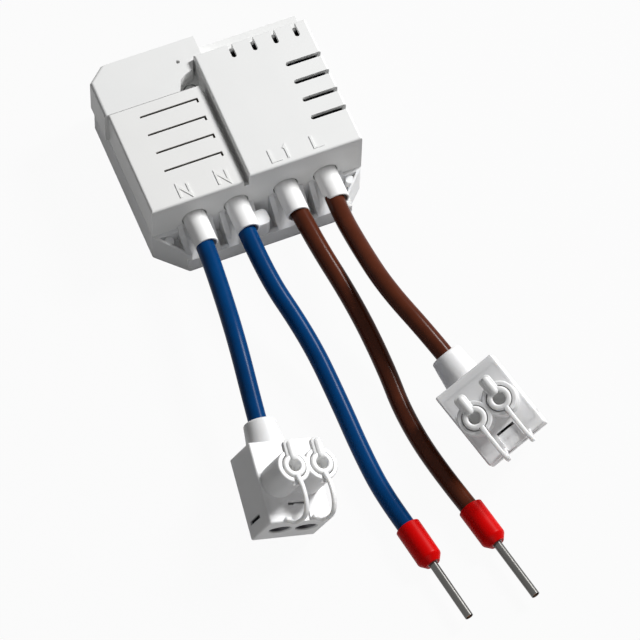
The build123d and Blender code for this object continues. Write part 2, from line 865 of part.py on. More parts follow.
def build_varistor():
    """Disc that takes up surges."""
    with BuildPart() as varistor:
        with Locations((varistor_at[0], varistor_at[1], part_bottom_z + varistor_radius)):
            Cylinder(varistor_radius, varistor_thickness, rotation=(0, 90, 0))
        fillet(varistor.edges(), varistor_edge)
    save(varistor.part, "varistor")


def build_radio():
    """Radio board on its pin row, its shield and its wire antenna."""
    radio_top_z = radio_from_z + radio_thickness
    with BuildPart() as radio_board:
        with Locations((radio_at[0], radio_at[1], radio_from_z + radio_thickness / 2)):
            Box(radio_size[0], radio_size[1], radio_thickness)
    save(radio_board.part, "radio_board")
    header_y = radio_at[1] - radio_size[1] / 2 + header_inset
    with BuildPart() as radio_header:
        block(radio_at[0] - header_half_length, radio_at[0] + header_half_length,
              header_y - header_half_width, header_y + header_half_width, board_top_z, radio_from_z)
        chamfer(radio_header.edges().filter_by(Axis.Z), header_edge)
    save(radio_header.part, "radio_header")
    with BuildPart() as radio_shield:
        with Locations((shield_at[0], shield_at[1], radio_top_z + shield_size[2] / 2)):
            Box(*shield_size)
        fillet(radio_shield.edges().filter_by(Axis.Z), shield_corner)
    save(radio_shield.part, "radio_shield")
    antenna_x = radio_at[0] + antenna_offset_x
    start = (antenna_x, radio_at[1] + radio_size[1] / 2, radio_from_z + radio_thickness / 2)
    with BuildPart() as antenna_wire:
        with BuildLine() as antenna_path:
            FilletPolyline(
                start,
                (antenna_x, antenna_y, start[2]),
                (can_at[0] + antenna_past_can, antenna_y, start[2]),
                radius=antenna_bend,
            )
        with BuildSketch(Plane(origin=start, z_dir=(0, 1, 0))):
            Circle(antenna_radius)
        sweep(path=antenna_path.line)
    save(antenna_wire.part, "antenna_wire")


def build_small_parts():
    """Fuse resistor, control chip and status light."""
    with BuildPart() as fuse_resistor:
        lengthwise_rod(resistor_at[0], board_top_z + resistor_radius, resistor_radius,
                       resistor_at[1] - resistor_length / 2, resistor_at[1] + resistor_length / 2)
        fillet(fuse_resistor.edges().filter_by(GeomType.CIRCLE), resistor_edge)
    save(fuse_resistor.part, "fuse_resistor")
    with BuildPart() as control_chip:
        with Locations((chip_at[0], chip_at[1], board_top_z + chip_size[2] / 2)):
            Box(*chip_size)
        chamfer(control_chip.faces().sort_by(Axis.Z)[-1].edges(), chip_edge)
    save(control_chip.part, "control_chip")
    with BuildPart() as status_led:
        upright_rod(pinhole_x, pinhole_y, led_radius, led_from_z, led_top_z)
        fillet(status_led.faces().sort_by(Axis.Z)[-1].edges(), led_dome)
        for side in (-1, 1):
            leg_x = pinhole_x + side * led_leg_offset
            upright_rod(leg_x, pinhole_y, led_leg_radius, board_top_z, led_from_z)
    save(status_led.part, "status_led")


def build_lead_terminals():
    """Four solder blades that take the ends of the leads."""
    back_y = terminal_front_y + terminal_thickness
    with BuildPart() as lead_terminals:
        for x in sleeve_x:
            block(x - terminal_width / 2, x + terminal_width / 2, terminal_front_y, back_y,
                  board_top_z, terminal_top_z)
            lengthwise_rod(x, sleeve_z, core_radius + terminal_hole_gap, terminal_front_y, back_y,
                           mode=Mode.SUBTRACT)
    save(lead_terminals.part, "lead_terminals")


def build_learn_button():
    """Tall push switch under the notch: body and moving button."""
    lip_z = learn_body_top_z - learn_lip
    with BuildPart() as learn_switch:
        with Locations((learn_x, learn_y, (board_top_z + learn_body_top_z) / 2)):
            Box(learn_body_size, learn_body_size, learn_body_top_z - board_top_z)
        upright_rod(learn_x, learn_y, learn_chamber_radius, learn_chamber_z, lip_z, mode=Mode.SUBTRACT)
        upright_rod(learn_x, learn_y, learn_stem_radius + learn_stem_clearance, lip_z,
                    learn_body_top_z, mode=Mode.SUBTRACT)
    save(learn_switch.part, "learn_switch")
    with BuildPart() as learn_button:
        upright_rod(learn_x, learn_y, learn_flange_radius, lip_z - learn_flange_height, lip_z)
        upright_rod(learn_x, learn_y, learn_stem_radius, lip_z, learn_stem_top_z)
        fillet(learn_button.faces().sort_by(Axis.Z)[-1].edges(), learn_stem_edge)
    save(learn_button.part, "learn_button")
    print("learn button travel", learn_travel, "room under it",
          round(lip_z - learn_flange_height - learn_chamber_z, 2))


# Leads, ferrules

def ferrule_axis(start, tip):
    """Direction and start point of a ferrule lying level."""
    direction = Vector(tip[0] - start[0], tip[1] - start[1], 0).normalized()
    return direction, Vector(start[0], start[1], ferrule_z)


def along(direction, origin, distance):
    """Point at a distance along an axis, as a tuple."""
    spot = origin + direction * distance
    return (spot.X, spot.Y, spot.Z)


def lead_radii(points):
    """Bend radius at each inner corner: a share of the shorter run beside it."""
    radii = []
    for index in range(1, len(points) - 1):
        before = Vector(*points[index]) - Vector(*points[index - 1])
        after = Vector(*points[index + 1]) - Vector(*points[index])
        half_turn = math.radians(before.get_angle(after)) / 2
        radii.append(lead_arc_share * min(before.length, after.length) / math.tan(half_turn))
    return radii


def build_lead(label, points):
    """Round insulated lead along its route."""
    radii = lead_radii(points)
    with BuildPart() as lead:
        with BuildLine() as route:
            FilletPolyline(*points, radius=radii)
        first = Vector(*points[1]) - Vector(*points[0])
        with BuildSketch(Plane(origin=points[0], z_dir=first)):
            Circle(lead_radius)
        sweep(path=route.line)
    save(lead.part, label)
    length = sum(edge.length for edge in route.edges())
    expected = math.pi * lead_radius ** 2 * length
    runs = []
    for index in range(len(points) - 1):
        runs.append(round((Vector(*points[index + 1]) - Vector(*points[index])).length, 1))
    print(label, "length", round(length, 1), "radii", [round(r, 1) for r in radii], "runs", runs)
    print("  volume", round(lead.part.volume, 1), "of", round(expected, 1))


def build_leads():
    """The four leads: two neutral, one switched and one line lead."""
    mouth_y = connector_back_length + boss_length
    left_entry = point_on(left_place, lead_entry_x, mouth_y + neutral_short_approach, lead_entry_z)
    left_end = point_on(left_place, lead_entry_x, connector_lead_end_y, lead_entry_z)
    right_entry = point_on(right_place, lead_entry_x, mouth_y + line_short_approach, lead_entry_z)
    right_end = point_on(right_place, lead_entry_x, connector_lead_end_y, lead_entry_z)
    build_lead("neutral_lead_short", [
        (sleeve_x[0], lead_start_y, sleeve_z),
        (sleeve_x[0], neutral_short_exit_y, sleeve_z),
        *neutral_short_bends,
        left_entry,
        left_end,
    ])
    direction, origin = ferrule_axis(neutral_collar_start, neutral_tip)
    build_lead("neutral_lead_long", [
        (sleeve_x[1], lead_start_y, sleeve_z),
        (sleeve_x[1], neutral_long_exit_y, sleeve_z),
        *neutral_long_bends,
        along(direction, origin, -neutral_long_approach),
        along(direction, origin, lead_in_collar),
    ])
    direction, origin = ferrule_axis(switched_collar_start, switched_tip)
    build_lead("switched_lead_long", [
        (sleeve_x[2], lead_start_y, sleeve_z),
        (sleeve_x[2], switched_long_exit_y, sleeve_z),
        *switched_long_bends,
        along(direction, origin, -switched_long_approach),
        along(direction, origin, lead_in_collar),
    ])
    build_lead("line_lead_short", [
        (sleeve_x[3], lead_start_y, sleeve_z),
        (sleeve_x[3], line_short_exit_y, sleeve_z),
        *line_short_bends,
        right_entry,
        right_end,
    ])


def build_ferrule(name, start, tip):
    """Red collar and plated barrel on the end of a long lead."""
    direction, origin = ferrule_axis(start, tip)
    with BuildPart() as collar:
        with BuildSketch(Plane.XZ) as half:
            with BuildLine():
                Polyline(
                    (collar_mouth_radius, 0),
                    (collar_radius, 0),
                    (collar_radius, collar_length - collar_shoulder),
                    (collar_radius - collar_step, collar_length),
                    (barrel_root_radius, collar_length),
                    (barrel_root_radius, collar_mouth_depth + collar_mouth_radius - barrel_root_radius),
                    (collar_mouth_radius, collar_mouth_depth),
                    close=True,
                )
            make_face()
            fillet(half.vertices().group_by(Axis.X)[-1].sort_by(Axis.Y)[-1], collar_edge)
        revolve(axis=Axis.Z)
    with BuildPart() as barrel:
        upright_rod(0, 0, barrel_root_radius, collar_length - barrel_root, collar_length)
        upright_rod(0, 0, barrel_radius, collar_length, collar_length + barrel_length)
        upright_rod(0, 0, barrel_bore_radius, collar_length - barrel_root,
                    collar_length + barrel_length, mode=Mode.SUBTRACT)
    stand = Plane(origin=origin, z_dir=direction).location
    save(collar.part.moved(stand), name + "_ferrule_collar")
    save(barrel.part.moved(stand), name + "_ferrule_barrel")
    print(name, "ferrule tip", along(direction, origin, collar_length + barrel_length))


def build_strand_ends():
    """Bare copper ends of the leads at the terminals, in the ferrules and in the connectors."""
    with BuildPart() as strand_ends:
        for x in sleeve_x:
            strand_to_y = terminal_front_y + terminal_thickness + strand_overshoot
            lengthwise_rod(x, sleeve_z, core_radius, lead_start_y, strand_to_y)
        for pair in ((neutral_collar_start, neutral_tip), (switched_collar_start, switched_tip)):
            direction, origin = ferrule_axis(*pair)
            base = along(direction, origin, lead_in_collar)
            with BuildSketch(Plane(origin=base, z_dir=direction)):
                Circle(core_radius)
            extrude(amount=collar_length + barrel_length - lead_in_collar - strand_tip_gap)
        for place in (left_place, right_place):
            near = point_on(place, lead_entry_x, connector_lead_end_y, lead_entry_z)
            far = point_on(place, lead_entry_x, contact_bar_back_y - strand_over_riser, lead_entry_z)
            direction = Vector(*far) - Vector(*near)
            with BuildSketch(Plane(origin=near, z_dir=direction)):
                Circle(core_radius)
            extrude(amount=direction.length)
    save(strand_ends.part, "strand_ends")


# Connectors

def build_connector_housing(place, name):
    """Box of a connector with the lead boss behind and two wire entries in front."""
    half_width = connector_half_width
    front_y = -connector_front_length
    back_y = connector_back_length
    mouth_y = back_y + boss_length
    inner_top = connector_height - cap_thickness
    inner_front = front_y + 2 * connector_wall
    with BuildPart() as housing:
        block(-half_width, half_width, front_y, back_y, 0, connector_height)
        fillet(housing.edges(), connector_round)
        with BuildPart() as boss:
            with BuildSketch(Plane.XZ.offset(-back_y + connector_wall)):
                with Locations((boss_root_x, boss_root_radius)):
                    Circle(boss_root_radius)
            with BuildSketch(Plane.XZ.offset(-mouth_y)):
                with Locations((boss_mouth_x, boss_mouth_z)):
                    Circle(boss_mouth_radius)
            loft()
            fillet(boss.faces().sort_by(Axis.Y)[-1].edges(), boss_edge)
        block(-half_width + connector_wall, half_width - connector_wall, inner_front,
              back_y - connector_wall, connector_wall, inner_top, mode=Mode.SUBTRACT)
        block(-cap_half_width, cap_half_width, -cap_half_length, cap_half_length,
              inner_top, connector_height, mode=Mode.SUBTRACT)
        lengthwise_rod(lead_entry_x, lead_entry_z, lead_entry_radius, connector_lead_end_y - lead_end_gap,
                       mouth_y, mode=Mode.SUBTRACT)
        for side in (-1, 1):
            lengthwise_rod(side * entry_x, entry_z, entry_radius, front_y, inner_front, mode=Mode.SUBTRACT)
            with BuildSketch(Plane.XZ.offset(-front_y)):
                with Locations((side * entry_x, entry_z)):
                    Ellipse(entry_funnel_half_width, entry_funnel_half_height)
            with BuildSketch(Plane.XZ.offset(-front_y - entry_funnel_depth)):
                with Locations((side * entry_x, entry_z)):
                    Ellipse(entry_funnel_half_height, entry_radius)
            loft(mode=Mode.SUBTRACT)
        for side in (-1, 1):
            near = side * (half_width - connector_wall)
            far = side * half_width
            block(min(near, far), max(near, far), test_slot_y - test_slot_width / 2,
                  test_slot_y + test_slot_width / 2, test_slot_from_z, test_slot_to_z, mode=Mode.SUBTRACT)
        block(-cap_pocket_half_width, cap_pocket_half_width, front_y, -cap_half_length,
              cap_pocket_floor_z, connector_height, mode=Mode.SUBTRACT)
    save(housing.part.moved(place), name + "_housing")


def build_connector_cap(place, name):
    """Cap of a connector with the two towers of the release buttons."""
    plate_bottom = connector_height - cap_thickness
    mouth_z = tower_top_z - tower_mouth_depth
    with BuildPart() as tower:
        upright_rod(0, tower_y, tower_radius, connector_height, tower_top_z)
        fillet(tower.faces().sort_by(Axis.Z)[-1].edges(), tower_round)
    with BuildPart() as cap:
        block(-cap_half_width, cap_half_width, -cap_half_length, cap_half_length,
              plate_bottom, connector_height)
        with Locations((-tower_x, 0, 0), (tower_x, 0, 0)):
            add(tower.part)
        for side in (-1, 1):
            x = side * tower_x
            upright_rod(x, tower_y, tower_guide_radius, plate_bottom, mouth_z, mode=Mode.SUBTRACT)
            upright_rod(x, tower_y, tower_mouth_radius, mouth_z, tower_top_z, mode=Mode.SUBTRACT)
            half_notch = tail_width / 2 + tail_notch_gap
            block(x - half_notch, x + half_notch, tower_y, tower_y + tower_radius,
                  tail_bottom_z - release_travel - tail_notch_gap, tower_top_z, mode=Mode.SUBTRACT)
            block(x - strap_notch_width / 2, x + strap_notch_width / 2, tower_y - tower_radius, tower_y,
                  tower_top_z - release_travel, tower_top_z, mode=Mode.SUBTRACT)
        block(-cap_pocket_half_width, cap_pocket_half_width, -cap_half_length, cap_pocket_back_y,
              cap_pocket_floor_z, connector_height, mode=Mode.SUBTRACT)
        slot_half_width = cap_pocket_half_width - cap_slot_margin
        block(-slot_half_width, slot_half_width, cap_pocket_back_y,
              cap_pocket_back_y + cap_slot_length, plate_bottom, connector_height, mode=Mode.SUBTRACT)
    save(cap.part.moved(place), name + "_cap")


def build_release_button(place, name, side, letter):
    """Round release button with its channelled tail."""
    x = side * tower_x
    half_tail = tail_width / 2
    half_groove = tail_groove_width / 2
    with BuildPart() as button:
        upright_rod(x, tower_y, button_radius, button_bottom_z, button_top_z)
        fillet(button.faces().sort_by(Axis.Z)[-1].edges(), button_edge)
        with BuildPart() as tail:
            block(x - half_tail, x + half_tail, tower_y, tail_end_y, tail_bottom_z, tail_top_z)
            fillet(tail.edges().filter_by(Axis.Z).group_by(Axis.Y)[-1], tail_corner)
        block(x - half_groove, x + half_groove, tower_y, tail_end_y - tail_groove_margin,
              tail_top_z - tail_groove_depth, button_top_z, mode=Mode.SUBTRACT)
        upright_rod(x, tower_y, button_hole_radius, button_top_z - button_hole_depth,
                    button_top_z, mode=Mode.SUBTRACT)
        with Locations((x, tower_y, button_top_z - button_hole_flare / 2)):
            Cone(button_hole_radius, button_hole_radius + button_hole_flare, button_hole_flare,
                 mode=Mode.SUBTRACT)
    save(button.part.moved(place), name + "_release_" + letter)


def build_release_strap(place, name, side, letter):
    """Bowed strap that springs the button back, with its foot on the front lip."""
    x = side * tower_x
    with BuildPart() as strap:
        with BuildLine(Plane.YZ.offset(x)) as bow:
            Spline(*strap_points)
        with BuildSketch(Plane(origin=bow.line @ 0, x_dir=(1, 0, 0), z_dir=bow.line % 0)):
            Rectangle(strap_width, strap_thickness)
        sweep(path=bow.line)
        block(x - strap_foot_width / 2, x + strap_foot_width / 2, strap_foot_from_y, strap_foot_to_y,
              connector_height, connector_height + strap_foot_height)
        upright_rod(x, tower_y, button_radius, button_bottom_z, button_top_z + strap_cut_over,
                    mode=Mode.SUBTRACT)
    save(strap.part.moved(place), name + "_strap_" + letter)


def build_connector_contacts(place, name):
    """Contact bar and the pair of clamp springs inside a connector."""
    bar_bottom = connector_wall
    bar_top = bar_bottom + contact_bar_thickness
    with BuildPart() as contact_bar:
        block(-contact_bar_half_width, contact_bar_half_width, contact_bar_front_y, contact_bar_back_y,
              bar_bottom, bar_top)
        block(-contact_riser_half_width, contact_riser_half_width, contact_bar_back_y - contact_riser_length,
              contact_bar_back_y, bar_top, lead_entry_z - core_radius)
    save(contact_bar.part.moved(place), name + "_contact_bar")
    leaf_low_z = bar_top + spring_leaf / 2
    with BuildPart() as clamp_springs:
        for side in (-1, 1):
            with BuildSketch(Plane.YZ.offset(side * entry_x)):
                with BuildLine():
                    FilletPolyline(
                        (spring_front_y, leaf_low_z),
                        (spring_back_y, leaf_low_z),
                        (spring_back_y, spring_top_z),
                        *spring_points,
                        radius=spring_bend,
                    )
                trace(line_width=spring_leaf)
            extrude(amount=spring_width / 2, both=True)
    save(clamp_springs.part.moved(place), name + "_clamp_springs")


def build_connector(place, name):
    """All pieces of one push-in connector."""
    build_connector_housing(place, name)
    build_connector_cap(place, name)
    build_connector_contacts(place, name)
    for side, letter in ((-1, "a"), (1, "b")):
        build_release_button(place, name, side, letter)
        build_release_strap(place, name, side, letter)
    down = Vector(*point_on(place, 0, 0, -1)) - Vector(*point_on(place, 0, 0, 0))
    print(name, "release direction", round(down.X, 5), round(down.Y, 5), round(down.Z, 5))
    for side in (-1, 1):
        spot = point_on(place, side * entry_x, -connector_front_length + 2 * connector_wall, entry_z)
        print("  wire entry", [round(v, 3) for v in spot])


build_base_shell()
build_cover_shell()
build_louvre_panel()
build_sleeves()
build_board()
build_board_screws()
build_component_pins()
build_relay()
build_film_capacitor()
build_transformer()
build_can_capacitor()
build_varistor()
build_radio()
build_small_parts()
build_lead_terminals()
build_learn_button()
build_leads()
build_ferrule("neutral", neutral_collar_start, neutral_tip)
build_ferrule("switched", switched_collar_start, switched_tip)
build_strand_ends()
build_connector(left_place, "left_connector")
build_connector(right_place, "right_connector")
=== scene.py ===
"""Looks of the wireless power switch: flush case, four leads, ferrules and push-in connectors."""

import json
import logging
import math
from dataclasses import dataclass, field, replace
from enum import Enum
from typing import Sequence, Union

import bmesh
import bpy
from mathutils import Matrix, Vector

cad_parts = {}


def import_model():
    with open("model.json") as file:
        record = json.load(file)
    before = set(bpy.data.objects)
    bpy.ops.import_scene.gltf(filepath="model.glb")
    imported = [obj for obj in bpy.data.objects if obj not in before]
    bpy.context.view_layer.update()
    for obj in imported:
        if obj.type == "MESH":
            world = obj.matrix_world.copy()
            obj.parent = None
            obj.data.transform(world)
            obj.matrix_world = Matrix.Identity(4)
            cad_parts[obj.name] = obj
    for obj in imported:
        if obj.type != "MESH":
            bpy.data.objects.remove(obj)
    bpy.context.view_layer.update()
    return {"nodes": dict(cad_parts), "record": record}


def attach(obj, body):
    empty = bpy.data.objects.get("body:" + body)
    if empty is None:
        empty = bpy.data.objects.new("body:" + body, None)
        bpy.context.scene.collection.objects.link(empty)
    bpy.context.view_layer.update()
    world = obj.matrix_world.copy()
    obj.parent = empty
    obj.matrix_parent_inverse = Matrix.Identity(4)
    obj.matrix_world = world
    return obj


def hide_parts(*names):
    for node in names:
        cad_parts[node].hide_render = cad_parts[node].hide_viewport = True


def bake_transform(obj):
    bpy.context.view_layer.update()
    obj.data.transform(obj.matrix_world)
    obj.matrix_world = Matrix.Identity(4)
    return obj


logging.basicConfig(level=logging.INFO, format="%(message)s")
LOG = logging.getLogger("switch")

MM = 0.001
ROOT_BODY = "switch"
CAMERA_PLACE_MM = (-187.46, -472.21, 835.31)
CAMERA_RIGHT = (0.92655, -0.37575, 0.01758)
CAMERA_UP = (0.3193, 0.81032, 0.49135)
CAMERA_BACK = (-0.19888, -0.44965, 0.87078)
CAMERA_LENS = 270.0
CAMERA_SENSOR = 36.0
CAMERA_CLIP = (0.01, 20.0)
SLEEVE_X_MM = (-13.5, -4.55, 6.1, 14.7)
LEAD_START_Y_MM = -12.4
LEAD_START_Z_MM = 10.3
BARED_END_Y_MM = -8.6
MODELLED_SHARP_ANGLE = math.radians(50)
NODES_SHARP_ANGLE = math.radians(40)

Number = Union[float, int]
Colour = tuple[float, float, float]
Point = tuple[float, float, float]


# ---- Shader maths ----


class Wire:
    """A shader socket, or a plain number, that takes part in Python expressions."""

    def __init__(self, tree: bpy.types.NodeTree,
                 value: Union[bpy.types.NodeSocket, Number]) -> None:
        """Keep the tree and the socket or number."""
        self.tree = tree
        self.value = value

    def _math(self, operation: str, other: Union["Wire", Number]) -> "Wire":
        """Math node on this value and another."""
        return node(self.tree, "ShaderNodeMath", {"operation": operation}, {0: self, 1: other})

    def __add__(self, other: Union["Wire", Number]) -> "Wire":
        """Sum."""
        return self._math("ADD", other)

    def __radd__(self, other: Number) -> "Wire":
        """Sum with a number on the left."""
        return self._math("ADD", other)

    def __sub__(self, other: Union["Wire", Number]) -> "Wire":
        """Difference."""
        return self._math("SUBTRACT", other)

    def __rsub__(self, other: Number) -> "Wire":
        """Difference with a number on the left."""
        return Wire(self.tree, other)._math("SUBTRACT", self)

    def __mul__(self, other: Union["Wire", Number]) -> "Wire":
        """Product."""
        return self._math("MULTIPLY", other)

    def __rmul__(self, other: Number) -> "Wire":
        """Product with a number on the left."""
        return self._math("MULTIPLY", other)

    def clamp(self) -> "Wire":
        """The value held between 0 and 1."""
        return node(self.tree, "ShaderNodeClamp", {}, {"Value": self})


def node(tree: bpy.types.NodeTree, kind: str, settings: dict, inputs: dict,
         output: Union[int, str] = 0) -> Wire:
    """Add a node with its settings and its inputs.

    Args:
        tree: the node tree.
        kind: the node's type.
        settings: attributes set before the inputs.
        inputs: socket name or index to a value, a Wire or a socket.
        output: the socket that is returned.

    Returns:
        The chosen output.
    """
    made = tree.nodes.new(kind)
    for name, value in settings.items():
        setattr(made, name, value)
    for name, value in inputs.items():
        if isinstance(value, Wire):
            value = value.value
        if isinstance(value, bpy.types.NodeSocket):
            tree.links.new(value, made.inputs[name])
        else:
            made.inputs[name].default_value = value
    return Wire(tree, made.outputs[output])


def object_coordinates(tree: bpy.types.NodeTree) -> Wire:
    """Object coordinates of the piece."""
    return node(tree, "ShaderNodeTexCoord", {}, {}, "Object")


def noise(tree: bpy.types.NodeTree, where: Wire, scale: float, detail: float = 2.0,
          roughness: float = 0.5) -> Wire:
    """Noise value.

    Args:
        tree: the node tree.
        where: the coordinates.
        scale: how many cells a metre holds.
        detail: octaves.
        roughness: weight of the finer octaves.

    Returns:
        The noise factor.
    """
    return node(tree, "ShaderNodeTexNoise", {}, {"Vector": where, "Scale": scale, "Detail": detail,
                                                 "Roughness": roughness}, "Fac")


def mix_colour(tree: bpy.types.NodeTree, factor: Wire, first: Colour, second: Colour) -> Wire:
    """Blend of two colours by a factor."""
    return node(tree, "ShaderNodeMix", {"data_type": "RGBA"},
                {0: factor, 6: (*first, 1.0), 7: (*second, 1.0)}, 2)


def bump(tree: bpy.types.NodeTree, height: Wire, distance: float, strength: float = 1.0) -> Wire:
    """Normal from a height."""
    return node(tree, "ShaderNodeBump", {}, {"Height": height, "Distance": distance,
                                             "Strength": strength}, "Normal")


# ---- Finishes ----


@dataclass(frozen=True)
class Finish:
    """A surface of one colour family with clouds of tint, fine grain and uneven gloss."""

    name: str
    colour: Colour
    tint: Colour
    roughness: float = 0.4
    roughness_spread: float = 0.08
    metallic: float = 0.0
    coat: float = 0.0
    grain_scale: float = 9000.0
    grain_height: float = 0.000004
    cloud_scale: float = 120.0
    specular: float = 0.5
    transmission: float = 0.0
    subsurface: float = 0.0
    subsurface_depth: float = 0.0015
    subsurface_radius: Colour = (1.0, 0.96, 0.9)
    coat_roughness: float = 0.12
    cloud_detail: float = 3.0
    grain_detail: float = 2.0
    grain_harshness: float = 0.6

    def build(self) -> bpy.types.Material:
        """Make the material, or return it if it is made.

        Returns:
            The material.
        """
        found = bpy.data.materials.get(self.name)
        if found:
            return found
        material = bpy.data.materials.new(self.name)
        material.use_nodes = True
        tree = material.node_tree
        shader = tree.nodes["Principled BSDF"]
        where = self.coordinates(tree)
        cloud = noise(tree, where, self.cloud_scale, self.cloud_detail)
        grain = noise(tree, where, self.grain_scale, self.grain_detail, self.grain_harshness)
        colour = self.tone(tree, mix_colour(tree, cloud, self.colour, self.tint))
        tree.links.new(colour.value, shader.inputs["Base Color"])
        spread = ((grain - 0.5) + (cloud - 0.5)) * self.roughness_spread
        roughness = (self.roughness + spread + self.wear(tree)).clamp()
        tree.links.new(roughness.value, shader.inputs["Roughness"])
        normal = bump(tree, self.relief(tree, grain), self.grain_height)
        tree.links.new(normal.value, shader.inputs["Normal"])
        shader.inputs["Metallic"].default_value = self.metallic
        shader.inputs["Coat Weight"].default_value = self.coat
        shader.inputs["Coat Roughness"].default_value = self.coat_roughness
        shader.inputs["Specular IOR Level"].default_value = self.specular
        shader.inputs["Transmission Weight"].default_value = self.transmission
        shader.inputs["Subsurface Weight"].default_value = self.subsurface
        shader.inputs["Subsurface Radius"].default_value = self.subsurface_radius
        shader.inputs["Subsurface Scale"].default_value = self.subsurface_depth
        return material

    def coordinates(self, tree: bpy.types.NodeTree) -> Wire:
        """Coordinates that the noises read."""
        return object_coordinates(tree)

    def tone(self, tree: bpy.types.NodeTree, colour: Wire) -> Wire:
        """Change of the colour in parts of the piece: none here."""
        return colour

    def wear(self, tree: bpy.types.NodeTree) -> Union[Wire, float]:
        """Extra roughness in parts of the piece: none here."""
        return 0.0

    def relief(self, tree: bpy.types.NodeTree, grain: Wire) -> Wire:
        """Height that drives the bump: the grain alone here."""
        return grain


@dataclass(frozen=True)
class Moulded(Finish):
    """Injection-moulded plastic: fine spark texture, flow clouds and a few hairline scuffs."""

    scuff_scale: float = 2520.0
    scuff_gloss: float = 0.12
    scuff_turn: float = 0.6
    scuff_stretch: float = 0.07
    scuff_threshold: float = 0.64
    scuff_contrast: float = 6.0
    scuff_detail: float = 2.0

    def wear(self, tree: bpy.types.NodeTree) -> Wire:
        """Hairline scuffs, as stretched noise above a threshold.

        Args:
            tree: the node tree.

        Returns:
            The extra roughness.
        """
        stretched = node(tree, "ShaderNodeMapping", {}, {
            "Vector": object_coordinates(tree),
            "Rotation": (0.0, 0.0, self.scuff_turn),
            "Scale": (1.0, self.scuff_stretch, 1.0),
        })
        lines = noise(tree, stretched, self.scuff_scale, self.scuff_detail)
        return ((lines - self.scuff_threshold) * self.scuff_contrast).clamp() * self.scuff_gloss


@dataclass(frozen=True)
class PaintedShadePlastic(Moulded):
    """Moulded plastic with painted shade: a darker tone inside one box, such as its throats or its
    inside, where shade falls.
    """

    shade_box_low: Point = (0.0, 0.0, 0.0)
    shade_box_high: Point = (0.0, 0.0, 0.0)
    painted_shade_tone: Colour = (0.1, 0.1, 0.1)
    shade_box_origin: Point = (0.0, 0.0, 0.0)
    shade_box_axes: tuple[Point, Point, Point] = ((1.0, 0.0, 0.0), (0.0, 1.0, 0.0), (0.0, 0.0, 1.0))
    sharpness: float = 4000.0

    def tone(self, tree: bpy.types.NodeTree, colour: Wire) -> Wire:
        """Paint shade into the box: the box takes the painted shade tone.

        Args:
            tree: the node tree.
            colour: the colour outside the box.

        Returns:
            The colour with the painted shade in the box.
        """
        # inside is the mask of the painted-shade box: 1 within it, 0 outside.
        inside: Union[Wire, float] = 1.0
        from_origin = node(tree, "ShaderNodeVectorMath", {"operation": "SUBTRACT"}, {
            0: object_coordinates(tree), 1: [c * MM for c in self.shade_box_origin]})
        for axis, low, high in zip(self.shade_box_axes, self.shade_box_low, self.shade_box_high):
            place = node(tree, "ShaderNodeVectorMath", {"operation": "DOT_PRODUCT"},
                         {0: from_origin, 1: axis}, "Value")
            above = ((place - low * MM) * self.sharpness).clamp()
            below = ((high * MM - place) * self.sharpness).clamp()
            inside = above * below * inside
        # Inside the box the painted shade tone replaces the colour.
        return node(tree, "ShaderNodeMix", {"data_type": "RGBA"},
                    {0: inside, 6: colour, 7: (*self.painted_shade_tone, 1.0)}, 2)


@dataclass(frozen=True)
class Insulation(Finish):
    """Extruded insulation: fine grain over soft long waves."""

    wave_scale: float = 260.0
    wave_share: float = 1.3
    grain_share: float = 0.35

    def relief(self, tree: bpy.types.NodeTree, grain: Wire) -> Wire:
        """Grain with slow waves.

        Args:
            tree: the node tree.
            grain: the fine grain.

        Returns:
            The height.
        """
        wave = noise(tree, object_coordinates(tree), self.wave_scale, 1.0)
        return grain * self.grain_share + wave * self.wave_share


@dataclass(frozen=True)
class DrawnMetal(Finish):
    """Plated or drawn metal with fine lines along it."""

    line_stretch: float = 0.06

    def coordinates(self, tree: bpy.types.NodeTree) -> Wire:
        """Coordinates stretched along Y, so that the grain runs in lines."""
        return node(tree, "ShaderNodeMapping", {}, {
            "Vector": object_coordinates(tree), "Scale": (1.0, self.line_stretch, 1.0)})


# Painted shade: inside the raised block, the box below its top is painted near black, standing for
# the shade seen through its slots.
CASE_WHITE = PaintedShadePlastic(
    "case_white_plastic", (0.795, 0.8, 0.795), (0.835, 0.837, 0.83), 0.46, 0.1,
    grain_height=0.000005, specular=0.25,
    shade_box_low=(-0.9, -14.5, 0.0), shade_box_high=(21.9, 14.8, 18.1), painted_shade_tone=(0.02, 0.02, 0.022))
# Painted shade: the louvre throats below the panel's top are painted a dark warm amber, standing
# for the warm shade in the slots.
PANEL_WHITE = PaintedShadePlastic(
    "panel_white_plastic", (0.8, 0.8, 0.79), (0.83, 0.83, 0.82), 0.46, 0.1,
    grain_height=0.000005, specular=0.25,
    shade_box_low=(-17.0, -8.5, 0.0), shade_box_high=(-3.9, 8.3, 17.12), painted_shade_tone=(0.075, 0.05, 0.022))
# The base keeps the case's painted-shade box: its surfaces inside the raised block are painted near
# black as shade.
BASE_WHITE = replace(
    CASE_WHITE, name="base_white_plastic", colour=(0.85, 0.855, 0.86), tint=(0.88, 0.885, 0.89),
    specular=0.15, subsurface=0.5, subsurface_depth=0.0015)
SLEEVE_WHITE = Moulded("sleeve_white_plastic", (0.88, 0.88, 0.875), (0.91, 0.91, 0.905), 0.4, 0.08)
CONNECTOR_WHITE = PaintedShadePlastic(
    "connector_white_plastic", (0.8, 0.8, 0.805), (0.84, 0.84, 0.84), 0.4, 0.08,
    subsurface=0.4, subsurface_depth=0.0012)
BUTTON_WHITE = Moulded("button_white_plastic", (0.83, 0.83, 0.825), (0.87, 0.87, 0.865), 0.37, 0.08,
                       subsurface=0.3, subsurface_depth=0.0008)
STRAP_WHITE = Moulded("strap_white_plastic", (0.86, 0.86, 0.855), (0.89, 0.89, 0.885), 0.37, 0.08,
                      subsurface=0.8, subsurface_depth=0.0012)
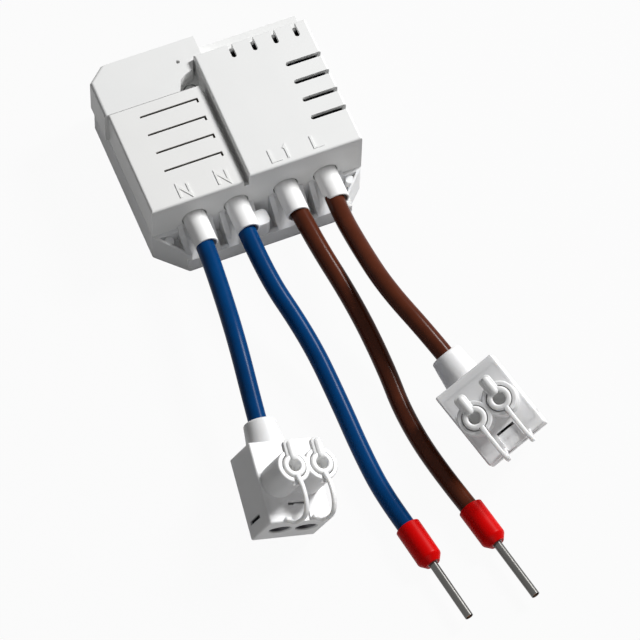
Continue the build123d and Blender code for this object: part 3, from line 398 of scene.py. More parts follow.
LEAD_BLUE = Insulation("lead_blue_insulation", (0.0, 0.032, 0.12), (0.0, 0.048, 0.18), 0.26, 0.05,
                       grain_scale=2500.0, grain_height=0.00001, cloud_scale=300.0, specular=0.05)
LEAD_BROWN = Insulation(
    "lead_brown_insulation", (0.06, 0.013, 0.005), (0.095, 0.022, 0.009), 0.23, 0.05,
    grain_scale=2500.0, grain_height=0.000015, cloud_scale=400.0, specular=0.06)
COLLAR_RED = Moulded("collar_red_plastic", (0.55, 0.0005, 0.0005), (0.62, 0.001, 0.001), 0.36, 0.02,
                     grain_scale=1500.0, grain_height=0.0000005, specular=0.07, scuff_gloss=0.03)
TIN = DrawnMetal("tin_plate", (0.075, 0.074, 0.07), (0.12, 0.118, 0.113), 0.3, 0.04, metallic=1.0,
                 grain_scale=3000.0, grain_height=0.000001)
COPPER = DrawnMetal("bare_copper", (0.75, 0.36, 0.2), (0.82, 0.45, 0.27), 0.3, 0.12, metallic=1.0)
BOARD_GREEN = Finish("board_solder_mask", (0.03, 0.16, 0.06), (0.05, 0.22, 0.09), 0.3, 0.1,
                     coat=0.4)
PART_BLACK = Moulded("part_black_plastic", (0.015, 0.015, 0.017), (0.03, 0.03, 0.032), 0.45, 0.1)
FILM_YELLOW = Moulded("film_yellow_box", (0.72, 0.4, 0.04), (0.8, 0.47, 0.06), 0.35, 0.08)
TAPE_YELLOW = DrawnMetal("winding_tape", (0.75, 0.44, 0.05), (0.82, 0.52, 0.08), 0.3, 0.08,
                         line_stretch=6.0)
FERRITE = Finish("ferrite", (0.02, 0.02, 0.022), (0.04, 0.04, 0.042), 0.6, 0.1)
CAN_SLEEVE = Finish("can_sleeve", (0.02, 0.03, 0.12), (0.03, 0.04, 0.16), 0.3, 0.06, coat=0.3)
VARISTOR_BLUE = Finish("varistor_dip", (0.01, 0.06, 0.3), (0.02, 0.08, 0.36), 0.35, 0.1)
RESISTOR_SAND = Finish("resistor_lacquer", (0.42, 0.3, 0.16), (0.5, 0.37, 0.22), 0.4, 0.1)
SHIELD_TIN = DrawnMetal("shield_sheet", (0.6, 0.6, 0.6), (0.68, 0.68, 0.68), 0.35, 0.12,
                        metallic=1.0)
SPRING_STEEL = DrawnMetal("spring_steel", (0.55, 0.55, 0.56), (0.62, 0.62, 0.63), 0.3, 0.1,
                          metallic=1.0)
SCREW_STEEL = DrawnMetal("screw_steel", (0.5, 0.5, 0.52), (0.6, 0.6, 0.62), 0.35, 0.12,
                         metallic=1.0)
LED_CLEAR = Finish("led_lens", (0.2, 0.22, 0.18), (0.26, 0.28, 0.23), 0.1, 0.04, transmission=0.4)

SLOT_FINISH: dict[str, Finish] = {
    "case_white": CASE_WHITE,
    "panel_white": PANEL_WHITE,
    "sleeve_white": SLEEVE_WHITE,
    "connector_white": CONNECTOR_WHITE,
    "button_white": BUTTON_WHITE,
    "strap_white": STRAP_WHITE,
    "lead_blue": LEAD_BLUE,
    "lead_brown": LEAD_BROWN,
    "collar_red": COLLAR_RED,
    "tin": TIN,
    "copper": COPPER,
    "board_green": BOARD_GREEN,
    "part_black": PART_BLACK,
    "film_yellow": FILM_YELLOW,
    "tape_yellow": TAPE_YELLOW,
    "ferrite": FERRITE,
    "can_aluminium": CAN_SLEEVE,
    "varistor_blue": VARISTOR_BLUE,
    "resistor_sand": RESISTOR_SAND,
    "shield_tin": SHIELD_TIN,
    "spring_steel": SPRING_STEEL,
    "learn_black": PART_BLACK,
    "led_clear": LED_CLEAR,
    "screw_steel": SCREW_STEEL,
}


class Conductor(Enum):
    """What a lead carries, which sets its colour; it also names the record's slot."""

    NEUTRAL = ("lead_blue", LEAD_BLUE)
    LIVE = ("lead_brown", LEAD_BROWN)

    @property
    def slot(self) -> str:
        """The record's material slot."""
        return self.value[0]

    @property
    def finish(self) -> Finish:
        """The insulation's finish."""
        return self.value[1]


class LeadEnd(Enum):
    """What a lead ends in, in the words of the frame."""

    FERRULE = "fitting"
    PUSH_IN = "connector"


# ---- Mesh helpers ----


def put(name: str, mesh: bpy.types.Mesh, finish: Finish, slot: str,
        *replaced: str) -> bpy.types.Object:
    """Link a mesh as a piece with its finish.

    Args:
        name: the piece's name.
        mesh: its mesh, in the shared frame.
        finish: its surface.
        slot: the record's material slot; not used.
        replaced: the CAD nodes it stands for.

    Returns:
        The new object.
    """
    piece = bpy.data.objects.new(name, mesh)
    bpy.context.scene.collection.objects.link(piece)
    piece.data.materials.clear()
    piece.data.materials.append(finish.build())
    if replaced:
        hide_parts(*replaced)
    LOG.info("piece %s", name)
    return piece


def smooth_path(points: Sequence[Vector], steps: int) -> list[Vector]:
    """Points of a smooth line through the given points.

    Args:
        points: the points it goes through.
        steps: parts between two of them.

    Returns:
        The finer points.
    """
    ends = [points[0] * 2 - points[1], *points, points[-1] * 2 - points[-2]]
    made = []
    for index in range(1, len(ends) - 2):
        p0, p1, p2, p3 = ends[index - 1:index + 3]
        for step in range(steps):
            t = step / steps
            made.append(0.5 * ((2 * p1) + (p2 - p0) * t + (2 * p0 - 5 * p1 + 4 * p2 - p3) * t * t
                               + (3 * p1 - p0 - 3 * p2 + p3) * t ** 3))
    made.append(points[-1].copy())
    return made


def rounded_section(width: float, height: float, radius: float,
                    steps: int = 3) -> list[tuple[float, float]]:
    """Corner points of a rectangle with rounded corners.

    Args:
        width: size across.
        height: size up.
        radius: corner radius.
        steps: parts of one corner.

    Returns:
        The points, anticlockwise.
    """
    made = []
    for corner, (side, rise) in enumerate(((1, 1), (-1, 1), (-1, -1), (1, -1))):
        for step in range(steps + 1):
            angle = math.radians(90 * corner + 90 / steps * step)
            made.append((side * (width / 2 - radius) + radius * math.cos(angle),
                         rise * (height / 2 - radius) + radius * math.sin(angle)))
    return made


def join_rings(made: bmesh.types.BMesh, rings: Sequence[Sequence[bmesh.types.BMVert]]) -> None:
    """Skin rings of points one after another and close both ends.

    Args:
        made: the mesh that holds the points.
        rings: the rings; a ring of one point is a tip.
    """
    for first, second in zip(rings, rings[1:]):
        count = max(len(first), len(second))
        for index in range(count):
            after = (index + 1) % count
            corners = [first[index % len(first)], first[after % len(first)],
                       second[after % len(second)], second[index % len(second)]]
            made.faces.new(list(dict.fromkeys(corners)))
    for ring in (rings[0], rings[-1]):
        if len(ring) > 2:
            made.faces.new(ring)


def shared_mesh(made: bmesh.types.BMesh, name: str, place: Matrix) -> bpy.types.Mesh:
    """Turn a mesh in millimetres of a piece's own frame into a finished mesh of the shared frame.

    Args:
        made: the mesh, which is freed.
        name: the new mesh's name.
        place: place of the piece's frame, in millimetres.

    Returns:
        The mesh in metres, with faces outward.
    """
    bmesh.ops.recalc_face_normals(made, faces=made.faces)
    bmesh.ops.transform(made, matrix=Matrix.Scale(MM, 4) @ place, verts=made.verts)
    for face in made.faces:
        face.smooth = True
    mesh = bpy.data.meshes.new(name)
    made.to_mesh(mesh)
    made.free()
    mesh.set_sharp_from_angle(angle=MODELLED_SHARP_ANGLE)
    return mesh


# ---- Geometry Nodes ----


class PieceTree:
    """A Geometry Nodes tree built step by step, run once and turned into a plain mesh."""

    def __init__(self, name: str, finish: Finish, sizes: dict[str, float]) -> None:
        """Make the tree with its named size inputs.

        Args:
            name: the tree's name.
            finish: the finish that Set Material gives.
            sizes: input names and their values.
        """
        self.tree = bpy.data.node_groups.new(name, "GeometryNodeTree")
        self.finish = finish
        self.sizes = sizes
        sockets = self.tree.interface
        sockets.new_socket("Geometry", in_out="INPUT", socket_type="NodeSocketGeometry")
        for label in sizes:
            sockets.new_socket(label, in_out="INPUT", socket_type="NodeSocketFloat")
        sockets.new_socket("Geometry", in_out="OUTPUT", socket_type="NodeSocketGeometry")
        self.entry = self.tree.nodes.new("NodeGroupInput")

    def size(self, label: str) -> Wire:
        """The named size as a wire."""
        return Wire(self.tree, self.entry.outputs[label])

    def source(self) -> Wire:
        """The geometry that comes in."""
        return Wire(self.tree, self.entry.outputs["Geometry"])

    def step(self, kind: str, inputs: dict, output: Union[int, str] = 0,
             **settings: object) -> Wire:
        """Node of the tree, with its settings and its inputs."""
        return node(self.tree, kind, settings, inputs, output)

    def mesh(self, seed_mesh: bpy.types.Mesh, result: Wire) -> bpy.types.Mesh:
        """Finish the tree, run it on a seed mesh and return the plain mesh.

        Args:
            seed_mesh: the mesh that the tree starts from.
            result: the geometry before instances are made real.

        Returns:
            The finished mesh.
        """
        real = self.step("GeometryNodeRealizeInstances", {"Geometry": result})
        dressed = self.step("GeometryNodeSetMaterial", {
            "Geometry": real, "Material": self.finish.build()})
        out = self.tree.nodes.new("NodeGroupOutput")
        self.tree.links.new(dressed.value, out.inputs["Geometry"])
        holder = bpy.data.objects.new(self.tree.name + "_seed", seed_mesh)
        bpy.context.scene.collection.objects.link(holder)
        modifier = holder.modifiers.new("made", "NODES")
        modifier.node_group = self.tree
        for item in self.tree.interface.items_tree:
            if item.in_out == "INPUT" and item.name in self.sizes:
                modifier[item.identifier] = self.sizes[item.name]
        bpy.context.view_layer.update()
        graph = bpy.context.evaluated_depsgraph_get()
        made = bpy.data.meshes.new_from_object(holder.evaluated_get(graph))
        made.name = self.tree.name
        holder.modifiers.remove(modifier)
        bpy.data.objects.remove(holder)
        for polygon in made.polygons:
            polygon.use_smooth = True
        made.set_sharp_from_angle(angle=NODES_SHARP_ANGLE)
        return made


# ---- Sub-assemblies ----


@dataclass
class Case:
    """Case: its CAD nodes keep their shape, and sloping blades stand under its louvres."""

    blade_count: int = 4
    first_blade_y: float = -6.95
    blade_pitch: float = 4.5
    blade_from_x: float = -16.55
    blade_to_x: float = -4.4
    blade_top_z: float = 15.74
    blade_drop: float = 0.9
    blade_run: float = 1.1
    blade_thickness: float = 0.4
    blade_columns: int = 9
    blade_sides: int = 2
    blade_rows: int = 5

    def seed(self) -> bpy.types.Mesh:
        """One point for each louvre blade.

        Returns:
            A mesh of points.
        """
        middle = (self.blade_from_x + self.blade_to_x) / 2 * MM
        rows = [self.first_blade_y + index * self.blade_pitch for index in range(self.blade_count)]
        places = [(middle, row * MM, self.blade_top_z * MM) for row in rows]
        mesh = bpy.data.meshes.new("louvre_blade_places")
        mesh.from_pydata(places, [], [])
        return mesh

    def build(self) -> bpy.types.Object:
        """Make the sloping blades that stand under the louvres.

        Returns:
            The piece.
        """
        sizes = {
            "Blade Length": (self.blade_to_x - self.blade_from_x) * MM,
            "Blade Height": self.blade_drop * MM,
            "Blade Run": self.blade_run * MM,
            "Blade Thickness": self.blade_thickness * MM,
        }
        # The blades stand inside the panel's painted-shade box, so they are painted the dark warm
        # shade tone all over.
        tree = PieceTree("louvre_blades", PANEL_WHITE, sizes)
        size = tree.step("ShaderNodeCombineXYZ", {
            "X": tree.size("Blade Length"),
            "Y": tree.size("Blade Thickness"),
            "Z": tree.size("Blade Height"),
        })
        bar = tree.step("GeometryNodeMeshCube", {
            "Size": size,
            "Vertices X": self.blade_columns,
            "Vertices Y": self.blade_sides,
            "Vertices Z": self.blade_rows,
        }, "Mesh")
        where = tree.step("GeometryNodeInputPosition", {})
        up = tree.step("ShaderNodeSeparateXYZ", {"Vector": where}, "Z")
        slope = up * tree.size("Blade Run") * (-1.0) * (1.0 / (self.blade_drop * MM))
        lean = slope + self.blade_run * MM / 2
        shift = tree.step("ShaderNodeCombineXYZ", {
            "Y": lean, "Z": tree.size("Blade Height") * (-0.5)})
        leaning = tree.step("GeometryNodeSetPosition", {"Geometry": bar, "Offset": shift})
        placed = tree.step("GeometryNodeInstanceOnPoints", {
            "Points": tree.source(), "Instance": leaning})
        mesh = tree.mesh(self.seed(), placed)
        piece = put("louvre_blades", mesh, PANEL_WHITE, "panel_white")
        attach(piece, ROOT_BODY)
        return piece


@dataclass
class CopperStrands:
    """Twisted bare strands at both ends of the leads."""

    core_radius: float = 0.65
    strand_radius: float = 0.205
    turn_length: float = 9.0
    stations: int = 28
    strand_sides: int = 8
    ring_count: int = 6
    paths: Sequence[tuple[Point, Point]] = field(default_factory=list)

    def seed(self) -> bpy.types.Mesh:
        """One edge for each bared end.

        Returns:
            A mesh of edges.
        """
        places: list[Vector] = []
        for start, end in self.paths:
            places += [Vector(start) * MM, Vector(end) * MM]
        mesh = bpy.data.meshes.new("strand_paths")
        mesh.from_pydata(places, [(i, i + 1) for i in range(0, len(places), 2)], [])
        return mesh

    def build(self) -> bpy.types.Object:
        """Make the strands.

        Returns:
            The piece.
        """
        sizes = {
            "Strand Radius": self.strand_radius * MM,
            "Ring Radius": (self.core_radius - self.strand_radius) * MM,
            "Turn Length": self.turn_length * MM,
        }
        tree = PieceTree("copper_strands", COPPER, sizes)
        line = tree.step("GeometryNodeMeshToCurve", {"Mesh": tree.source()})
        line = tree.step("GeometryNodeResampleCurve", {"Curve": line, "Count": self.stations})
        far = tree.step("GeometryNodeSplineParameter", {}, "Length")
        turn = tree.step("ShaderNodeMath", {0: far * math.tau, 1: tree.size("Turn Length")},
                         operation="DIVIDE")
        line = tree.step("GeometryNodeSetCurveTilt", {"Curve": line, "Tilt": turn})
        strand = tree.step("GeometryNodeCurvePrimitiveCircle", {
            "Resolution": self.strand_sides, "Radius": tree.size("Strand Radius")}, "Curve")
        ring = tree.step("GeometryNodeCurvePrimitiveCircle", {
            "Resolution": self.ring_count, "Radius": tree.size("Ring Radius")}, "Curve")
        spots = tree.step("GeometryNodeCurveToPoints", {"Curve": ring}, "Points", mode="EVALUATED")
        around = tree.step("GeometryNodeInstanceOnPoints", {"Points": spots, "Instance": strand})
        whole = tree.tree.nodes.new("GeometryNodeJoinGeometry")
        tree.tree.links.new(strand.value, whole.inputs[0])
        tree.tree.links.new(around.value, whole.inputs[0])
        joined = Wire(tree.tree, whole.outputs[0])
        profile = tree.step("GeometryNodeRealizeInstances", {"Geometry": joined})
        swept = tree.step("GeometryNodeCurveToMesh", {
            "Curve": line, "Profile Curve": profile, "Fill Caps": True})
        mesh = tree.mesh(self.seed(), swept)
        piece = put("copper_strands", mesh, COPPER, "copper", "strand_ends")
        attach(piece, ROOT_BODY)
        return piece


@dataclass
class Lead:
    """A free lead on its route, in millimetres."""

    name: str
    replaces: str
    route_mm: Sequence[Point]
    conductor: Conductor
    length: float
    end: LeadEnd
    with_pieces: Sequence[str]
    diameter: float = 0.0038
    curve_steps: int = 24
    round_steps: int = 10

    def build(self) -> bpy.types.Object:
        """Returns:
            The curve object.
        """
        curve = bpy.data.curves.new(self.name, "CURVE")
        curve.dimensions = "3D"
        spline = curve.splines.new("NURBS")
        spline.points.add(len(self.route_mm) - 1)
        for point, place in zip(spline.points, self.route_mm):
            point.co = (*(c * MM for c in place), 1.0)
        spline.order_u = 3
        spline.use_endpoint_u = True
        curve.resolution_u = self.curve_steps
        curve.bevel_depth = self.diameter / 2
        curve.bevel_resolution = self.round_steps
        curve.use_fill_caps = True
        curve.materials.append(self.conductor.finish.build())
        piece = bpy.data.objects.new(self.name, curve)
        bpy.context.scene.collection.objects.link(piece)
        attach(piece, ROOT_BODY)
        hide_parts(self.replaces)
        tuple(c * MM for c in self.route_mm[0])
        LOG.info("lead %s", self.name)
        return piece


@dataclass
class Ferrule:
    """Red collar and plated barrel on a lead's end, on a level axis."""

    name: str
    start: tuple[float, float]
    tip: tuple[float, float]
    height: float = 2.7
    lead_inside: float = 3.0
    total_length: float = 22.4
    strand_gap: float = 0.3

    def along(self, distance: float) -> Point:
        """Point on the axis, in millimetres."""
        spot = Vector(self.start) + (Vector(self.tip) - Vector(self.start)).normalized() * distance
        return (spot.x, spot.y, self.height)

    def piece_names(self) -> list[str]:
        """Names of its pieces."""
        return [f"{self.name}_ferrule_collar", f"{self.name}_ferrule_barrel"]

    def strands(self) -> tuple[Point, Point]:
        """Ends of the bare strands inside it."""
        return self.along(self.lead_inside), self.along(self.total_length - self.strand_gap)


@dataclass
class ReleaseButton:
    """Round release button: a rounded ring over a blind hole, and a tail with a raised rib."""

    middle_y: float = -0.14
    radius: float = 2.4
    hole_radius: float = 1.25
    hole_depth: float = 3.0
    bottom_z: float = 9.6
    top_z: float = 17.4
    outer_round: float = 0.5
    inner_round: float = 0.35
    tail_half_width: float = 1.27
    tail_end_y: float = 5.15
    tail_corner: float = 0.9
    tail_bottom_z: float = 16.4
    tail_top_z: float = 17.3
    tail_edge: float = 0.14
    rib_radius: float = 0.84
    rib_rise: float = 0.66
    rib_x: float = 0.14
    rib_top_z: float = 17.83
    rib_from_y: float = 0.75
    rib_to_y: float = 4.95
    tail_overlap: float = 0.4
    round_steps: int = 5
    ring_sides: int = 48
    rib_steps: int = 6
    rib_sides: int = 20

    def quarter(self, start: float = 0.0) -> list[float]:
        """Angles of a quarter turn in equal steps, from a start in degrees."""
        return [math.radians(start + 90 / self.round_steps * step)
                for step in range(self.round_steps + 1)]

    def profile(self) -> list[tuple[float, float]]:
        """Half section of the ring.

        Returns:
            Radius and height of each point, from mid-underside to the middle of the hole's floor.
        """
        made = [(0.0, self.bottom_z), (self.radius, self.bottom_z)]
        for angle in self.quarter():
            made.append((self.radius - self.outer_round * (1 - math.cos(angle)),
                         self.top_z - self.outer_round * (1 - math.sin(angle))))
        for angle in reversed(self.quarter()):
            made.append((self.hole_radius + self.inner_round * (1 - math.cos(angle)),
                         self.top_z - self.inner_round * (1 - math.sin(angle))))
        floor = self.top_z - self.hole_depth
        return [*made, (self.hole_radius, floor), (0.0, floor)]

    def add_ring(self, made: bmesh.types.BMesh, x: float) -> None:
        """Turn the half section about the button's axis.

        Args:
            made: the mesh that takes the ring.
            x: place of the axis.
        """
        turns = [math.tau * index / self.ring_sides for index in range(self.ring_sides)]
        rings = []
        for radius, height in self.profile():
            rings.append([made.verts.new((x + radius * math.cos(turn),
                                          self.middle_y + radius * math.sin(turn), height))
                          for turn in (turns if radius else turns[:1])])
        join_rings(made, rings)

    def add_tail(self, made: bmesh.types.BMesh, x: float) -> None:
        """Add the tail's plate with its rounded end.

        Args:
            made: the mesh that takes the plate.
            x: place of the button's axis.
        """
        half, corner = self.tail_half_width, self.tail_corner
        start_y = self.middle_y + self.hole_radius + self.tail_overlap
        rings = []
        for height, inset in ((self.tail_bottom_z, 0.0), (self.tail_top_z - self.tail_edge, 0.0),
                              (self.tail_top_z, self.tail_edge)):
            outline = [(half - inset, start_y)]
            for side, first in ((1, 0.0), (-1, 90.0)):
                for angle in self.quarter(first):
                    outline.append((side * (half - corner) + (corner - inset) * math.cos(angle),
                                    self.tail_end_y - corner + (corner - inset) * math.sin(angle)))
            outline.append((-half + inset, start_y))
            rings.append([made.verts.new((x + across, y, height)) for across, y in outline])
        join_rings(made, rings)

    def add_rib(self, made: bmesh.types.BMesh, x: float) -> None:
        """Add the rib, a rounded bar that ends in half balls.

        Args:
            made: the mesh that takes the rib.
            x: place of the button's axis.
        """
        radius = self.rib_radius
        angles = [math.radians(90 / self.rib_steps * step) for step in range(self.rib_steps + 1)]
        stations = [(self.rib_from_y + radius * (1 - math.cos(angle)), math.sin(angle))
                    for angle in angles]
        stations += [(self.rib_to_y - radius * (1 - math.cos(angle)), math.sin(angle))
                     for angle in reversed(angles)]
        turns = [math.tau * index / self.rib_sides for index in range(self.rib_sides)]
        rings = []
        for y, share in stations:
            rings.append([made.verts.new((
                x + self.rib_x + radius * share * math.cos(turn), y,
                self.rib_top_z + self.rib_rise * (share * math.sin(turn) - 1)))
                for turn in (turns if share else turns[:1])])
        join_rings(made, rings)

    def mesh(self, name: str, x: float, place: Matrix) -> bpy.types.Mesh:
        """The button's mesh.

        Args:
            name: the mesh's name.
            x: place of its axis in the connector's frame, in millimetres.
            place: the connector's place, in millimetres.

        Returns:
            The mesh, in metres in the shared frame.
        """
        made = bmesh.new()
        self.add_ring(made, x)
        self.add_tail(made, x)
        self.add_rib(made, x)
        return shared_mesh(made, name, place)


@dataclass
class Connector:
    """A push-in connector where the part's source puts it, with its buttons and bowed straps."""

    name: str
    at_mm: Point
    turns: tuple[float, float, float]
    tower_x: float = 3.04
    strap_width: float = 0.9
    strap_thickness: float = 0.8
    strap_round: float = 0.3
    strap_steps: int = 6
    foot_spread: float = 0.6
    foot_reach: int = 5
    top_spread: float = 0.25
    top_reach: int = 8
    spring_from: tuple[float, float] = (-8.9, 10.0)
    spring_to: tuple[float, float] = (-2.3, 17.2)
    foot_y: float = -7.9
    foot_z: float = 9.3
    lead_x: float = -0.3
    lead_z: float = 3.0
    lead_end_y: float = 7.4
    strand_end_y: float = 3.0
    # Box of painted shade in the housing: its entries and slots are painted dark grey where shade
    # falls.
    inner_shade_low: Point = (-6.7, -8.45, 0.4)
    inner_shade_high: Point = (6.6, 7.9, 8.35)
    inner_shade_tone: Colour = (0.06, 0.058, 0.066)
    bow: Sequence[tuple[float, float]] = (
        (-2.3, 17.15), (-4.2, 17.85), (-6.2, 18.05), (-8.05, 17.75), (-9.35, 17.0), (-10.1, 15.8),
        (-10.25, 14.0), (-9.8, 11.6), (-8.6, 9.5))

    def matrix(self) -> Matrix:
        """Place of the connector's own frame.

        Returns:
            The place, in millimetres.
        """
        about_z = Matrix.Rotation(math.radians(self.turns[0]), 4, "Z")
        about_x = Matrix.Rotation(math.radians(self.turns[1]), 4, "X")
        about_y = Matrix.Rotation(math.radians(self.turns[2]), 4, "Y")
        return Matrix.Translation(self.at_mm) @ about_z @ about_x @ about_y

    def point(self, x: float, y: float, z: float) -> Point:
        """A point of the connector's own frame in the shared frame, in millimetres."""
        return tuple(self.matrix() @ Vector((x, y, z)))

    def lead_point(self, y: float) -> Point:
        """A point on the lead's axis in the connector, in the shared frame and millimetres."""
        return self.point(self.lead_x, y, self.lead_z)

    def piece_names(self) -> list[str]:
        """Names of the pieces on this connector.

        Returns:
            The CAD nodes that stay, and the pieces that are drawn again.
        """
        ends = ("housing", "cap", "contact_bar", "clamp_springs", "ribbed_button_a",
                "ribbed_button_b", "bowed_strap_a", "bowed_strap_b")
        return [f"{self.name}_connector_{end}" for end in ends]

    def strands(self) -> tuple[Point, Point]:
        """Ends of the bare strands inside it."""
        return self.lead_point(self.lead_end_y), self.lead_point(self.strand_end_y)

    def plastic(self) -> PaintedShadePlastic:
        """White plastic of its housing and cap, with painted shade: dark in the entries and slots.

        Returns:
            The finish.
        """
        axes = tuple(tuple(axis) for axis in self.matrix().to_3x3().transposed())
        return replace(CONNECTOR_WHITE, name=f"{self.name}_connector_plastic",
                       shade_box_low=self.inner_shade_low, shade_box_high=self.inner_shade_high,
                       painted_shade_tone=self.inner_shade_tone, shade_box_origin=self.at_mm, shade_box_axes=axes)

    def strap_mesh(self, side: int) -> bpy.types.Mesh:
        """One strap swept along its bow, with a foot that widens onto the front lip.

        Args:
            side: -1 or 1, the tower it belongs to.

        Returns:
            The mesh, in metres in the shared frame.
        """
        x = side * self.tower_x
        line = smooth_path([Vector((x, y, z)) for y, z in self.bow], self.strap_steps)
        line.append(Vector((x, self.foot_y, self.foot_z)))
        made = bmesh.new()
        rings = []
        for index, place in enumerate(line):
            ahead = line[min(index + 1, len(line) - 1)] - line[max(index - 1, 0)]
            rise = ahead.normalized().cross(Vector((1, 0, 0)))
            near_foot = max(0.0, 1 - (len(line) - 1 - index) / self.foot_reach)
            near_top = max(0.0, 1 - index / self.top_reach)
            spread = 1 + self.foot_spread * near_foot + self.top_spread * near_top
            section = rounded_section(self.strap_width * spread, self.strap_thickness,
                                      self.strap_round)
            rings.append([made.verts.new(place + Vector((1, 0, 0)) * across + rise * up)
                          for across, up in section])
        join_rings(made, rings)
        return shared_mesh(made, f"{self.name}_strap", self.matrix())

    def build(self) -> None:
        """Make both buttons, and both straps, which reach between housing and button."""
        for side, letter in ((-1, "a"), (1, "b")):
            x = side * self.tower_x
            mesh = ReleaseButton().mesh(f"{self.name}_button", x, self.matrix())
            button = put(f"{self.name}_connector_ribbed_button_{letter}", mesh, BUTTON_WHITE,
                         "button_white", f"{self.name}_connector_release_{letter}")
            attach(button, f"{self.name}_release_{letter}")
            piece = put(f"{self.name}_connector_bowed_strap_{letter}", self.strap_mesh(side),
                        STRAP_WHITE, "strap_white", f"{self.name}_connector_strap_{letter}")
            start = self.point(x, *self.spring_from)
            end = self.point(x, *self.spring_to)
            tuple(c * MM for c in start)
            tuple(c * MM for c in end)
            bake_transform(piece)


def dress_nodes(frame: dict, own: dict[str, Finish]) -> None:
    """Give every CAD node its finish.

    Args:
        frame: the loaded frame.
        own: nodes that have a finish of their own; the others take the one of their slot.
    """
    slots = {row["node"]: row["material_slot"] for row in frame["record"]["subparts"]}
    for name, piece in frame["nodes"].items():
        material = own.get(name, SLOT_FINISH[slots[name]]).build()
        piece.data.materials.clear()
        piece.data.materials.append(material)
        LOG.info("node %s", name)


# ---- Camera and studio ----


def build_camera() -> None:
    """Camera at the photograph's place."""
    data = bpy.data.cameras.new("photo_camera")
    data.lens = CAMERA_LENS
    data.sensor_width = CAMERA_SENSOR
    data.clip_start, data.clip_end = CAMERA_CLIP
    camera = bpy.data.objects.new("photo_camera", data)
    bpy.context.scene.collection.objects.link(camera)
    turn = Matrix((CAMERA_RIGHT, CAMERA_UP, CAMERA_BACK)).transposed().to_4x4()
    camera.matrix_world = Matrix.Translation([c * MM for c in CAMERA_PLACE_MM]) @ turn
    bpy.context.scene.camera = camera


@dataclass
class Studio:
    """Pale floor, a key lamp from the right, a weak lamp in front and a dim world."""

    half_floor: float = 3.0
    floor_tone: float = 0.3
    glow_share: float = 0.95
    world_strength: float = 0.12
    lamps: Sequence[tuple[str, Point, float, float]] = (
        ("key_lamp", (0.62, 0.14, 0.58), 0.2, 9.1),
        ("front_lamp", (0.0, -0.8, 0.35), 0.5, 1.0),
    )
    aim: Point = (0.0, -0.04, 0.0)

    def backdrop(self, tree: bpy.types.NodeTree) -> Wire:
        """1 for rays that show the background itself: camera, glossy and transmission rays.

        Args:
            tree: the node tree.

        Returns:
            The factor.
        """
        total = (node(tree, "ShaderNodeLightPath", {}, {}, "Is Camera Ray")
                 + node(tree, "ShaderNodeLightPath", {}, {}, "Is Glossy Ray")
                 + node(tree, "ShaderNodeLightPath", {}, {}, "Is Transmission Ray"))
        return total.clamp()

    def build_floor(self) -> None:
        """Make the floor, which keeps the object's shadow."""
        half = self.half_floor
        mesh = bpy.data.meshes.new("studio_floor")
        corners = [(-half, -half, 0), (half, -half, 0), (half, half, 0), (-half, half, 0)]
        mesh.from_pydata(corners, [], [(0, 1, 2, 3)])
        floor = bpy.data.objects.new("studio_floor", mesh)
        bpy.context.scene.collection.objects.link(floor)
        material = bpy.data.materials.new("studio_floor")
        material.use_nodes = True
        tree = material.node_tree
        tree.nodes.clear()
        tone = self.floor_tone
        matte = node(tree, "ShaderNodeBsdfDiffuse", {}, {"Color": (tone, tone, tone, 1.0)}, "BSDF")
        glow = node(tree, "ShaderNodeEmission", {},
                    {"Color": (1.0, 1.0, 1.0, 1.0), "Strength": 1.0}, "Emission")
        share = self.backdrop(tree) * self.glow_share
        mixed = node(tree, "ShaderNodeMixShader", {}, {0: share, 1: matte, 2: glow}, "Shader")
        out = tree.nodes.new("ShaderNodeOutputMaterial")
        tree.links.new(mixed.value, out.inputs["Surface"])
        floor.data.materials.append(material)

    def build_world(self) -> None:
        """Make the world: dim for the object, white for the background."""
        world = bpy.data.worlds.new("studio_world")
        bpy.context.scene.world = world
        world.use_nodes = True
        tree = world.node_tree
        background = tree.nodes["Background"]
        strength = self.world_strength + self.backdrop(tree) * (1.0 - self.world_strength)
        tree.links.new(strength.value, background.inputs["Strength"])
        background.inputs["Color"].default_value = (1.0, 1.0, 1.0, 1.0)

    def build(self) -> None:
        """Make the floor, the world and the lamps."""
        bpy.context.scene.view_settings.view_transform = "Standard"
        self.build_floor()
        self.build_world()
        for name, place, size, power in self.lamps:
            lamp = bpy.data.lights.new(name, "AREA")
            lamp.size = size
            lamp.energy = power
            lit = bpy.data.objects.new(name, lamp)
            bpy.context.scene.collection.objects.link(lit)
            lit.location = place
            line = Vector(self.aim) - Vector(place)
            lit.rotation_euler = line.to_track_quat("-Z", "Y").to_euler()


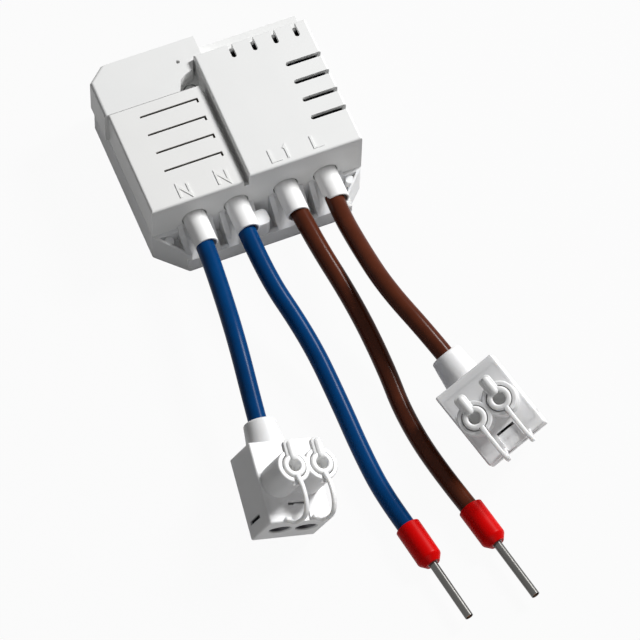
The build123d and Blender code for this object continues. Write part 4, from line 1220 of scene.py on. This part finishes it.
def main() -> None:
    """Build every piece around the frame."""
    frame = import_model()
    build_camera()
    left = Connector("left", (-21.2, -76.09, 3.89), (-6.9, 9.2, 22.1))
    right = Connector("right", (26.21, -74.97, 4.8), (18.4, 15.4, -22.5))
    left.build()
    right.build()
    exits = [(x, LEAD_START_Y_MM, LEAD_START_Z_MM) for x in SLEEVE_X_MM]
    neutral = Ferrule("neutral", (1.2, -91.5), (4.8, -113.6))
    switched = Ferrule("switched", (14.2, -92.1), (18.4, -113.4))
    Lead("lead_neutral_short", "neutral_lead_short", [
        exits[0], (-13.9, -23.1, 10.3), (-14.9, -33.7, 11.0), (-16.4, -46.0, 11.6),
        left.lead_point(17.6), left.lead_point(left.lead_end_y),
    ], Conductor.NEUTRAL, 0.0577, LeadEnd.PUSH_IN, left.piece_names()).build()
    Lead("lead_neutral_long", "neutral_lead_long", [
        exits[1], (-5.6, -29.8, 10.3), (-1.75, -47.2, 6.45), (-0.95, -60.5, 3.9),
        (-0.95, -74.2, 2.9), (-0.3, -84.6, 2.7), neutral.along(neutral.lead_inside),
    ], Conductor.NEUTRAL, 0.0832, LeadEnd.FERRULE, neutral.piece_names()).build()
    Lead("lead_switched_long", "switched_lead_long", [
        exits[2], (6.5, -26.5, 10.3), (9.5, -43.5, 7.0), (10.4, -57.5, 4.3),
        (9.95, -68.5, 3.0), (11.6, -82.1, 2.7), switched.along(switched.lead_inside),
    ], Conductor.LIVE, 0.0839, LeadEnd.FERRULE, switched.piece_names()).build()
    Lead("lead_line_short", "line_lead_short", [
        exits[3], (13.9, -23.5, 10.3), (14.3, -34.5, 11.6), (15.3, -46.0, 13.2),
        right.lead_point(18.6), right.lead_point(right.lead_end_y),
    ], Conductor.LIVE, 0.0587, LeadEnd.PUSH_IN, right.piece_names()).build()
    own = {f"{end.name}_connector_{part}": end.plastic()
           for end in (left, right) for part in ("housing", "cap")}
    dress_nodes(frame, {"base_shell": BASE_WHITE, **own})
    Case().build()
    bared = [(spot, (spot[0], BARED_END_Y_MM, LEAD_START_Z_MM)) for spot in exits]
    inside_ends = [end.strands() for end in (neutral, switched, left, right)]
    CopperStrands(paths=[*bared, *inside_ends]).build()
    Studio().build()


if __name__ == "__main__":
    main()
